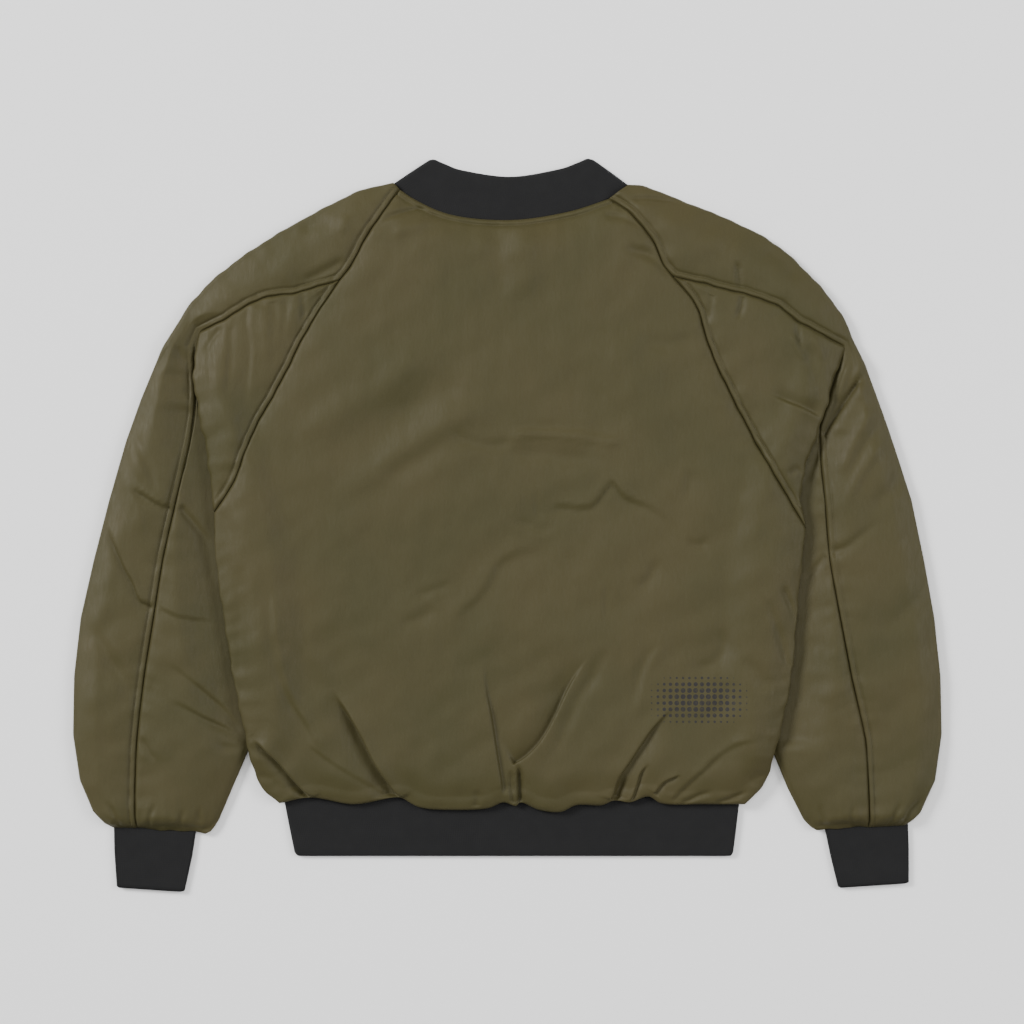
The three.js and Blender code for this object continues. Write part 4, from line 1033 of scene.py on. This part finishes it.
def rib_material(name, ribs, rows):
    return cloth_material(name, knit, {"Ribs": ribs, "Rows": rows, **RIB_COLORS},
                          0.12, 0.06, (0.5, 0.5, 0.52, 1))


# %% [markdown]
# ## The back
# One panel from the neckline to the waistband. Its sides are the two raglan seams and the side
# seams. The lower edge hangs over the waistband in scallops, because the shell is gathered there.

# %% Laying a panel with its folds rolled over
def rolled(x, y, layer, u, v, top, lining):
    """The top layer gets its height where it was and then rolls sideways, the lining stays."""
    border_share = np.minimum.reduce([u, 1 - u, v, 1 - v])
    moved = roll_over(x, y) * ease(border_share / 0.02) * layer
    return x + moved[0], y + moved[1], np.where(layer, top, lining)


# %% The back panel
STEPS = {"upper_raglan": 4, "lower_raglan": 8, "body_edge": 11}


def body_side(side, inset):
    """The border of a body panel from the waistband up to the neckline."""
    parts = []
    for name in ("body_edge", "lower_raglan", "upper_raglan"):
        line = side["lines"][name][::-1].copy()
        line[:, 0] -= side["sign"] * inset
        parts.append((line, STEPS[name]))
    return border(*parts)


def crowd(t, size):
    """Spaces rows of cells by a size for each place from 0 to 1."""
    steps = np.linspace(0, 1, 400)
    sizes = size(steps)
    ends = np.concatenate([[0], np.cumsum(sizes[1:] + sizes[:-1])])
    return np.interp(t, steps, ends / ends[-1])


def fine_sides(t):
    return 1 - 0.65 * np.exp(-((t / 0.045) ** 2)) - 0.65 * np.exp(-(((1 - t) / 0.045) ** 2))


def fine_hem_and_neck(t):
    return 0.6 + 0.6 * ease((t - 0.32) / 0.25) - 0.8 * np.exp(-(((1 - t) / 0.05) ** 2))


def back_place(u, v, layer):
    u = crowd(u, fine_sides)
    v = crowd(v, fine_hem_and_neck)
    x, y = patch(border((HEM_EDGE, 1)), border((NECK, 1)), body_side(LEFT, SEAM_GAP / 2),
                 body_side(RIGHT, SEAM_GAP / 2), u, v)
    return rolled(x, y, layer, u, v, body_top(x, y), body_lining(x, y))


BACK_CELLS = ((208, 212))
back = lay(finer_at_folds(two_layers("back_panel", *BACK_CELLS), back_place), back_place)
finish_piece(back, "back", printed_nylon)

# %% [markdown]
# ## The fronts
# They lie beneath and their padding is pressed on the surface, so they are flat there, with
# rounded edges along the zip and the seams. The centre edges leave room for the zip.


# %% The front panels
def front_place(side):
    sign = side["sign"]
    bottom = HEM_SEAM_Y + 0.4 * MM
    edge_x = CENTRE_X + sign * 8 * MM
    corner = np.array(side["front_neck"], float) * MM
    joint = side["lines"]["lower_raglan"][0]
    upper = np.linspace(joint, corner, 30)
    neck = FRONT_NECK.copy()
    if sign > 0:
        neck[:, 0] = 2 * CENTRE_X + 1 * MM - neck[:, 0]
    side_edge = border((np.maximum(side["lines"]["body_edge"][::-1], [-9, bottom]), 11),
                       (side["lines"]["lower_raglan"][::-1], 8), (upper, 4))
    start = side_edge(np.array([0.0]))[0][0]
    hem = border((np.array([[start, bottom], [edge_x, bottom]]), 1))
    zip_edge = np.array([[edge_x, bottom], [edge_x, neck[-1][1]]])
    rims = [zip_edge, side["lines"]["body_edge"], side["lines"]["lower_raglan"]]

    def place(u, v, layer):
        x, y = patch(hem, border((neck, 1)), side_edge, border((zip_edge, 1)), u, v)
        x = x - sign * 0.15 * MM * (1 - u)
        rim = least_distance(rims, x, y)
        rounding = 1.1 * MM * (1 - puff(rim / (7 * MM)))
        dimples = 0.5 * MM * np.clip(cloud(x, y, 30 * MM, 5) - 0.1, 0, 1) * ease(rim / (10 * MM))
        above = body_middle(x, y) - 0.5 * rounding
        return x, y, np.where(layer, above, lift_at(x, y) + rounding + dimples)

    return place


for side in SIDES:
    front = lay(two_layers("front_panel_" + side["name"], 44, 84), front_place(side))
    finish_piece(front, "front_" + side["name"], nylon)

# %% [markdown]
# ## The sleeves
# A sleeve lies flat with its front on the surface. The outer panel starts at the back seam, turns
# over the sleeve's outer edge and ends at the front seam. The under-sleeve folds over at the
# underarm: its upper stretch lies on top, its lower stretch comes out beneath the fold.


# %% Heights of a lower sleeve
def sleeve_end(side):
    return side["sleeve"][-1][0] * MM


def inner_shown(side, y):
    """The sleeve's inner edge as it shows, which the body covers further up."""
    cover = side["sign"] * cover_at(side, y) + COVER_EDGE
    return side["sign"] * np.maximum(cover, side["sign"] * column(side["sleeve"], 3, y))


def sleeve_away(side, x, y):
    """How far the sleeve's nearest edge is."""
    sign = side["sign"]
    start = side["sleeve"][0][0] * MM
    return np.minimum.reduce([
        INNER_SLOPE * ((x - inner_shown(side, y)) * sign - PRESSED_EDGE),
        (column(side["sleeve"], 1, y) - x) * sign,
        2.2 * (y - sleeve_end(side)),
        np.abs(y - start) + 6 * MM,
    ])


def inner_share(side, x, y):
    """How full the sleeve is beside the body, which holds it down; further down it is free."""
    inside = (x - inner_shown(side, y)) * side["sign"] - PRESSED_EDGE
    held = ease((cover_at(side, y) - column(side["sleeve"], 3, y)) * side["sign"] / (10 * MM))
    free = puff(INNER_SLOPE * inside / SLEEVE_REACH)
    return free + held * (ease(inside / INNER_REACH) - free)


LOWER_EDGE = 2.9 * MM
LOWER_PUFF = 4.9 * MM


def sleeve_middle(side, x, y):
    return LOWER_EDGE + LOWER_PUFF * ease(sleeve_away(side, x, y) / SLEEVE_REACH)


def sleeve_lining(side, x, y):
    return sleeve_middle(side, x, y) + LAYER_GAP


def sleeve_top(side, x, y):
    away = sleeve_away(side, x, y)
    seams = [(side["lower_seam"][::-1], -side["sign"], STITCHED)]
    near, beyond, relief = seam_relief(seams, x, y)
    fullness = np.minimum(puff(away / SLEEVE_REACH), inner_share(side, x, y))
    loft = loft_of(TUCKED_HEIGHT - LOWER_EDGE - LAYER_GAP, fullness, beyond)
    pressed = (1 - ease(away / (2 * MM) + 1)) * ease((y + 250 * MM) / (50 * MM))
    moved = unrest(np.minimum(away, near), 81, x, y)
    pulled = puckers(x, y, [side["lower_seam"]], 57)
    to_cuff = y - sleeve_end(side)
    bunches = np.exp(-to_cuff / (17 * MM)) * cloud(x, 0.12 * y, 9 * MM, 77)
    change = moved + pulled + 1.5 * MM * (bunches * ease(to_cuff / (3 * MM))) + relief
    return sleeve_lining(side, x, y) + np.maximum(loft + (1 - pressed) * change, LEAST_LAYER)


CUFF_END_SLOPE = 0.066
TUCKED_UNDER = 12 * MM
SEAM_TURN = 6 * MM
UNDER_FOLD = 0.5 * MM


def seam_or_fold(side, y):
    """The edge between the sleeve's panels: their seam, and further up the fold that hides it."""
    seam = column(side["sleeve"], 2, y)
    fold = cover_at(side, y) - side["sign"] * UNDER_FOLD
    return seam + ease((y - side["tuck_top"] * MM - TUCKED_UNDER) / SEAM_TURN) * (fold - seam)


def slanted(side, x, y):
    """The sleeve's end runs a little down towards the body, and the cuff goes on that way."""
    middle = (column(side["sleeve"], 1, y) + column(side["sleeve"], 3, y)) / 2
    return y + side["sign"] * CUFF_END_SLOPE * ease((0.1 - y) / 0.4) * (x - middle)


def gathered_end(side, x, y):
    """Where the gathers at the cuff push the sleeve's edge down in small uneven scallops."""
    to_cuff = y - sleeve_end(side)
    scallops = 2.2 * MM + 2.4 * MM * cloud(x, 0 * y, 17 * MM, 91)
    return slanted(side, x, y) - scallops * np.exp(-((to_cuff / (9 * MM)) ** 2))


def edge_x(side, k, y):
    """A column of the sleeve's table, drawn in at the very end, where its corners are round."""
    to_cuff = (y - sleeve_end(side)) / (9 * MM)
    inwards = -side["sign"] if k == 1 else side["sign"]
    return column(side["sleeve"], k, y) + inwards * 5 * MM * (1 - puff(to_cuff))


# %% The outer sleeve panel
TURN_START = 0.5
TURN_END = 0.66


def outer_sleeve_place(side):
    """The panel goes from its seam to the outer edge, turns over it and goes back underneath."""
    sign = side["sign"]
    lines = side["lines"]
    upper_seam = border((lines["upper_raglan"], 4), (lines["sleeve_seam"], 8))
    upper_edge = border((lines["shoulder"], 4), (lines["upper_arm"], 8))
    start = np.array(side["front_neck"], float) * MM
    neck_to_joint = np.linspace(start, lines["lower_raglan"][0], 30)
    under_seam = border((neck_to_joint, 4), (lines["sleeve_seam"], 8))
    top_y = (side["lift_top"] - 12) * MM
    end_y = sleeve_end(side)
    upper_share = 0.37

    def station(v):
        """Seam, edge and underside seam at v along the panel, from the neck to the cuff."""
        t = np.clip(v / upper_share, 0, 1)
        s = np.clip((v - upper_share) / (1 - upper_share), 0, 1)
        y = top_y + s * (end_y - top_y)
        seam_x = seam_or_fold(side, y) + sign * SEAM_GAP
        outer_x = edge_x(side, 1, y)
        ways = [
            (upper_seam, seam_x, sign * SEAM_GAP), (upper_edge, outer_x, 0),
            (under_seam, seam_x, sign * SEAM_GAP),
        ]
        made = []
        for upper, lower_x, gap in ways:
            upper_x, upper_y = upper(t)
            lower_y = gathered_end(side, lower_x, y)
            lower = v > upper_share
            made.append((np.where(lower, lower_x, upper_x + gap), np.where(lower, lower_y, upper_y)))
        return [*made, ease((v - upper_share + 0.03) / 0.06)]

    def place(u, v, layer):
        u = np.interp(u, [0, 0.11, TURN_START, TURN_END, 1], [0, 0.06, TURN_START, TURN_END, 1])
        (sx, sy), (ex, ey), (ux, uy), low = station(v)

        def blend(upper, lower):
            return lambda x, y: (1 - low) * upper(x, y) + low * lower(side, x, y)

        top = blend(body_top, sleeve_top)
        lining = blend(body_lining, sleeve_lining)
        middle = blend(body_middle, sleeve_middle)
        span = np.hypot(ex - sx, ey - sy)
        ox, oy = (ex - sx) / span, (ey - sy) / span
        rim = top(ex, ey) / 2 + 0.2 * MM
        ax, ay = ex - ox * rim, ey - oy * rim
        before = u < TURN_START
        above = np.clip(u / TURN_START, 0, 1)
        turn = np.clip((u - TURN_START) / 0.16, 0, 1) * np.pi
        below = np.clip((u - TURN_END) / 0.34, 0, 1)
        x = np.where(before, sx + above * (ax - sx), ax + below * (ux - ax))
        y = np.where(before, sy + above * (ay - sy), ay + below * (uy - ay))
        slit = (lining(ax, ay) + middle(ax, ay)) / 2
        radius = np.where(layer, rim, LAYER_GAP / 2)
        turning = ~before & (u <= TURN_END)
        x = x + np.where(turning, ox * radius * np.sin(turn), 0)
        y = y + np.where(turning, oy * radius * np.sin(turn), 0)
        arc_outer = np.where(turn < np.pi / 2, top(ax, ay) - rim, rim) + rim * np.cos(turn)
        arc = np.where(layer, arc_outer, slit + radius * np.cos(turn))
        outer = np.where(before, top(x, y), 0)
        inner = np.where(before, lining(x, y), middle(x, y))
        moved = roll_over(x, y) * layer * ease(u / 0.03) * (1 - ease((u - 0.42) / 0.08))
        return x + moved[0], y + moved[1], np.where(turning, arc, np.where(layer, outer, inner))

    return place


SLEEVE_CELLS = ((80, 240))
for side in SIDES:
    flat_panel = two_layers("outer_sleeve_" + side["name"], *SLEEVE_CELLS)
    outer_sleeve = lay(flat_panel, outer_sleeve_place(side))
    finish_piece(outer_sleeve, "sleeve_outer_" + side["name"], nylon)


# %% The under-sleeve's upper stretch, behind and in front
def upper_under_sleeve(side, lower_layer):
    sign = side["sign"]
    lines = side["lines"]
    seam = lines["sleeve_seam"][::-1].copy()
    raglan = lines["lower_raglan"][::-1].copy()
    seam[:, 1] -= SEAM_GAP
    raglan[:, 0] += sign * SEAM_GAP
    for line in (seam, raglan):
        line[-1] = line[-2] + 0.6 * (line[-1] - line[-2])
    point = np.linspace(seam[-1], raglan[-1], 20)
    borders = [border((line, 1)) for line in (lines["fold"], point, seam, raglan)]

    def place(u, v, layer):
        x, y = patch(*borders, u, v)
        if lower_layer:
            return x, y, np.where(layer, body_middle(x, y), lift_at(x, y))
        return rolled(x, y, layer, u, v, body_top(x, y), body_lining(x, y))

    return place


# %% The under-sleeve's lower stretch, behind and in front
def lower_under_sleeve(side, lower_layer):
    sign = side["sign"]
    top_y = side["tuck_top"] * MM + TUCKED_UNDER + SEAM_TURN
    end_y = sleeve_end(side)

    def place(u, v, layer):
        y = top_y + v * (end_y - top_y)
        seam = seam_or_fold(side, y) - sign * SEAM_GAP
        x = seam + u * (edge_x(side, 3, y) - seam)
        y = gathered_end(side, x, y)
        if lower_layer:
            return x, y, np.where(layer, sleeve_middle(side, x, y), 0)
        return rolled(x, y, layer, u, v, sleeve_top(side, x, y), sleeve_lining(side, x, y))

    return place


UNDER_SLEEVES = [
    ("upper", "back", upper_under_sleeve, (80, 72)), ("upper", "front", upper_under_sleeve, (20, 18)),
    ("lower", "back", lower_under_sleeve, (56, 170)), ("lower", "front", lower_under_sleeve, (12, 40)),
]
for side in SIDES:
    for stretch, face, place_of, cells in UNDER_SLEEVES:
        flat_panel = two_layers(f"under_sleeve_{stretch}_{face}_{side['name']}", *cells)
        piece = lay(flat_panel, place_of(side, face == "front"))
        finish_piece(piece, f"sleeve_{face}_{stretch}_{side['name']}", nylon)

# %% [markdown]
# ## Knitted ribs
# Collar, waistband and cuffs are a double rib knit. A band runs in front, turns over at a fold and
# runs on behind, so it is worked out as stations with an angle: 0 in front, a half turn behind.

# %% Bands of rib knit
# seam x, seam y, free edge x, free edge y
COLLAR_BACK = [
    (-116, 358, -76, 384.5), (-98, 344.5, -66, 380), (-61, 328, -46, 373), (3, 322, 3, 366.5),
    (65, 331, 52, 374), (105, 344.5, 73, 381), (123, 356.5, 83, 385.5),
]
COLLAR_FRONT = [
    (2, 256.5, 2, 300), (-28, 260.5, -22, 303), (-59, 272.5, -46, 313), (-90.5, 294.5, -66, 331),
    (-108.5, 320, -76, 350), (-113, 342, -77, 368), (-116, 358, -76, 384.5),
]
RIB_PITCH = 1.9 * MM


def smooth_rows(rows, count):
    """All columns of a table at sections in between its rows."""
    rows = np.array(rows, float) * MM
    places = np.linspace(0, len(rows) - 1, count + 1)
    k = np.minimum(places.astype(int), len(rows) - 2)
    t = (places - k)[:, None]
    a, b, c, d = (rows[np.clip(k + s, 0, len(rows) - 1)] for s in (-1, 0, 1, 2))
    return b + 0.5 * t * (c - a + t * (2 * a - 5 * b + 4 * c - d + t * (3 * (b - c) + d - a)))


def turn_stations(row, sign, backwards):
    """The stations of a fold, with the direction that points out of it."""
    along = np.array([row[2] - row[0], row[3] - row[1]])
    along /= np.linalg.norm(along)
    out = np.array([-along[1], along[0]])
    out = -out if out[0] * sign < 0 else out
    angles = np.linspace(0, np.pi, 17)[1:-1]
    angles = angles[::-1] if backwards else angles
    return [(*row, *out, angle) for angle in angles]


def flat_stations(rows, angle):
    return [(*row, 0, 0, angle) for row in rows]


CORNER_REACH = 6 * MM


def rounded_corner(to_fold, drop):
    """How much shorter a band is near its folds, where its free corners are round."""
    return 1 - drop * (1 - puff(to_fold / CORNER_REACH))


def band_place(stations, thickness, tuck=0.0, drop=0.07):
    """A band from its seam to its free edge, with a rounded free edge; its ribs come from its
    material.
    """
    stations = np.array(stations, float)
    radius = (thickness + LAYER_GAP) / 2
    axis = thickness + LAYER_GAP / 2
    centres = (stations[:, :2] + stations[:, 2:4]) / 2 + stations[:, 4:6] * radius
    steps = np.linalg.norm(np.diff(centres, axis=0), axis=1)
    turning = np.abs(np.diff(stations[:, 6])) * radius
    walked = np.concatenate([[0], np.cumsum(np.maximum(steps, turning))])
    folded = [walked[np.abs(stations[:, 6] - np.pi / 2) < 0.1][k] for k in (0, -1)]

    def place(u, v, layer):
        here = u * walked[-1]
        row = [np.interp(here, walked, stations[:, k]) for k in range(7)]
        end = np.minimum((1 - v) * 60 * MM, thickness / 2) / (thickness / 2)
        half = thickness / 2 * np.sqrt(np.maximum(0.04, 1 - (1 - end) ** 2))
        swell = 0.25 * MM * np.sin(np.pi * v)
        r = radius + np.where(layer, half + swell, -half)
        to_fold = np.minimum(np.abs(here - folded[0]), np.abs(here - folded[1]))
        share = v * rounded_corner(to_fold, drop) - (1 - v) * tuck
        bx = row[0] + share * (row[2] - row[0])
        by = row[1] + share * (row[3] - row[1])
        x = bx + row[4] * r * np.sin(row[6])
        y = by + row[5] * r * np.sin(row[6])
        return x, y, np.maximum(axis - r * np.cos(row[6]), 0)

    return place, walked[-1]


# %% The collar
def mirrored(row):
    return (7 - row[0], row[1], 7 - row[2], row[3])


front_rows = smooth_rows(COLLAR_FRONT, 60)
back_rows = smooth_rows(COLLAR_BACK, 110)
right_rows = smooth_rows([*[mirrored(row) for row in COLLAR_FRONT[:-1]], COLLAR_BACK[-1]], 60)[::-1]
collar_stations = [
    *flat_stations(front_rows, 0), *turn_stations(back_rows[0], -1, False),
    *flat_stations(back_rows, np.pi), *turn_stations(back_rows[-1], 1, True),
    *flat_stations(right_rows, 0),
]
collar_place, collar_length = band_place(collar_stations, COLLAR_WALL, 0.05, 0.1)
collar = lay(two_layers("collar_rib", int(collar_length / (2 * MM)), 20), collar_place)
collar_knit = rib_material("collar_knit", collar_length / RIB_PITCH, 26.0)
finish_piece(collar, "collar", collar_knit)

# %% The waistband
WAISTBAND_FREE_Y = -347


def waist_row(seam_x, free_x):
    return (seam_x, HEM_SEAM_Y / MM, free_x, WAISTBAND_FREE_Y)


left_row = waist_row(-233, -220.5)
right_row = waist_row(242, 234.5)
waist_stations = [
    *flat_stations(smooth_rows([waist_row(-5, -5), left_row], 20), 0),
    *turn_stations(np.array(left_row) * MM, -1, False),
    *flat_stations(smooth_rows([left_row, right_row], 40), np.pi),
    *turn_stations(np.array(right_row) * MM, 1, True),
    *flat_stations(smooth_rows([right_row, waist_row(11, 11)], 20), 0),
]
waist_place, waist_length = band_place(waist_stations, RIB_WALL)
waistband = lay(two_layers("waistband_rib", int(waist_length / (2 * MM)), 24), waist_place)
waist_knit = rib_material("waistband_knit", waist_length / RIB_PITCH, 30.0)
finish_piece(waistband, "waistband", waist_knit)


# %% The cuffs
def cuff_tube(side):
    """A flattened tube, made as a sheet round it and then given its thickness."""
    made = bmesh.new()
    made.loops.layers.uv.new("cut")
    bmesh.ops.create_grid(made, x_segments=280, y_segments=14, size=0.5, calc_uvs=True)
    rows = np.array(side["cuff"], float) * MM
    radius = RIB_TOP / 2 - RIB_WALL / 2
    for vert in made.verts:
        u, v = vert.co.x + 0.5, vert.co.y + 0.5
        y = rows[0][0] + v * (rows[-1][0] - rows[0][0])
        x0 = np.interp(-y, -rows[:, 0], rows[:, 1]) + RIB_TOP / 2
        x1 = np.interp(-y, -rows[:, 0], rows[:, 2]) - RIB_TOP / 2
        width = x1 - x0
        around = 2 * width + 2 * np.pi * radius
        walk = u * around
        folds = (width + np.pi * radius / 2, around - np.pi * radius / 2)
        to_fold = min(abs(walk - fold) for fold in folds)
        y = rows[0][0] + v * rounded_corner(to_fold, 0.045) * (rows[-1][0] - rows[0][0])
        if walk < width:
            x, z = x0 + walk, RIB_TOP / 2 + radius
        elif walk < width + np.pi * radius:
            angle = (walk - width) / radius
            x, z = x1 + radius * math.sin(angle), RIB_TOP / 2 + radius * math.cos(angle)
        elif walk < 2 * width + np.pi * radius:
            x, z = x1 - (walk - width - np.pi * radius), RIB_TOP / 2 - radius
        else:
            angle = (walk - 2 * width - np.pi * radius) / radius
            x, z = x0 - radius * math.sin(angle), RIB_TOP / 2 - radius * math.cos(angle)
        vert.co = (x, float(slanted(side, np.array(x), np.array(y))), z)
    bmesh.ops.remove_doubles(made, verts=made.verts[:], dist=0.02 * MM)
    bmesh.ops.recalc_face_normals(made, faces=made.faces[:])
    tube = smooth(make_object("cuff_rib_" + side["name"], made))
    wall = tube.modifiers.new("wall", "SOLIDIFY")
    wall.thickness = RIB_WALL - 0.3 * MM
    wall.offset = 0
    return tube


for side in SIDES:
    cuff = cuff_tube(side)
    cuff_knit = rib_material("cuff_knit_" + side["name"], 66.0, 30.0)
    finish_piece(cuff, "cuff_" + side["name"], cuff_knit)

# %% [markdown]
# ## Topstitching
# Each welt is held down by one row of stitches. A stitch is a small stretched ball that lies in
# the groove, so it catches the light as thread does. All stitches of a panel's seam are one piece.

# %% Rows of stitches
STITCH = {"length": 2.5 * MM, "thickness": 0.55 * MM, "pitch": 3.3 * MM}
thread = cloth_material(
    "olive_thread", weave,
    weave_values(2200.0, 60.0, (0.040, 0.034, 0.014), (0.062, 0.053, 0.024)),
    0.1, 0.1, OLIVE_SHEEN,
)


def offset_line(line, toward):
    """A line at the welt's width beside another, on its left where toward is 1."""
    return line + toward * WELT * leftward(line)


def stitches(name, line, height_at):
    """A row of stitches on a line, at the heights that height_at gives for x and y."""
    walked = walk_along(line)
    places = np.arange(STITCH["pitch"], walked[-1] - STITCH["pitch"], STITCH["pitch"])
    ends = []
    for shift in (-0.5, 0.5):
        here = places + shift * STITCH["length"]
        x = np.interp(here, walked, line[:, 0])
        y = np.interp(here, walked, line[:, 1])
        ends.append(np.stack([x, y, height_at(x, y) + 0.12 * MM], axis=1))
    size = (STITCH["length"], STITCH["thickness"], STITCH["thickness"])
    made = bmesh.new()
    for a, b in zip(*ends):
        a, b = Vector(a), Vector(b)
        turned = (b - a).to_track_quat("X", "Z").to_matrix().to_4x4()
        turned.translation = (a + b) / 2
        ball = bmesh.ops.create_icosphere(made, subdivisions=1, radius=0.5)["verts"]
        bmesh.ops.scale(made, vec=size, verts=ball)
        bmesh.ops.transform(made, matrix=turned, verts=ball)
    row = smooth(make_object(name, made))
    row.data.materials.append(thread)
    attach(row, "root")
    print(name, "stitches", len(places))


for side in SIDES:
    sign = side["sign"]
    name = side["name"]
    sleeve_seam = side["lines"]["sleeve_seam"]
    low_seam = side["lower_seam"]
    low_seam = low_seam[low_seam[:, 1] < side["tuck_top"] * MM - 4 * MM]
    stitches("stitches_raglan_" + name, offset_line(side["raglan"], sign)[4:-6], body_top)
    stitches("stitches_sleeve_seam_" + name, offset_line(sleeve_seam, sign)[6:-4], body_top)
    stitches("stitches_lower_seam_" + name, offset_line(low_seam, sign)[:-2],
             lambda x, y, side=side: sleeve_top(side, x, y))
stitches("stitches_neck", offset_line(NECK, -1)[6:-6], body_top)

# %% [markdown]
# ## The zip
# It runs down the front, under the jacket. Its teeth are small metal blocks, one row on each tape,
# which mesh in the middle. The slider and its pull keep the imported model's shape.

# %% Zip teeth
ZIP = {"top": 235.7 * MM, "bottom": -346 * MM, "pitch": 2.5 * MM, "rise": 3.1 * MM}
TOOTH = (3.0 * MM, 1.1 * MM, 2.0 * MM)
metal = new_material("dark_zip_metal")
tree = metal.node_tree
grain = noise(tree, own_place(tree), Scale=900.0, Detail=3.0)
tint = node(tree, "ShaderNodeValToRGB", Fac=grain)
tint.color_ramp.elements[0].color = (0.035, 0.034, 0.033, 1)
tint.color_ramp.elements[1].color = (0.075, 0.073, 0.070, 1)
rubbed = mapped(tree, grain, (0.3, 0.7), (0.28, 0.48))
set_shader(metal, {"Metallic": 1.0, "Base Color": tint.outputs["Color"], "Roughness": rubbed})

chain = bmesh.new()
count = int((ZIP["top"] - ZIP["bottom"]) / ZIP["pitch"])
for k in range(2 * count):
    row_sign = 1 if k % 2 else -1
    y = ZIP["bottom"] + (k + 1) * ZIP["pitch"] / 2
    z = 0.3 * MM + ZIP["rise"] * float(ease((y - HEM_SEAM_Y) / (60 * MM)))
    tooth = bmesh.ops.create_cube(chain, size=1.0)["verts"]
    bmesh.ops.scale(chain, vec=TOOTH, verts=tooth)
    bmesh.ops.translate(chain, vec=(CENTRE_X + row_sign * 1.2 * MM, y, z + 1.1 * MM), verts=tooth)
teeth = make_object("zip_teeth", chain)
finish_piece(teeth, "zip_chain", metal)
print("teeth", 2 * count)

# %% Finishes of the zip's other parts
for name, finish in (("zip_tape_left", tape_cloth), ("zip_tape_right", tape_cloth),
                     ("zip_slider", metal), ("zip_pull", metal)):
    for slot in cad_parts[name].material_slots:
        slot.material = finish
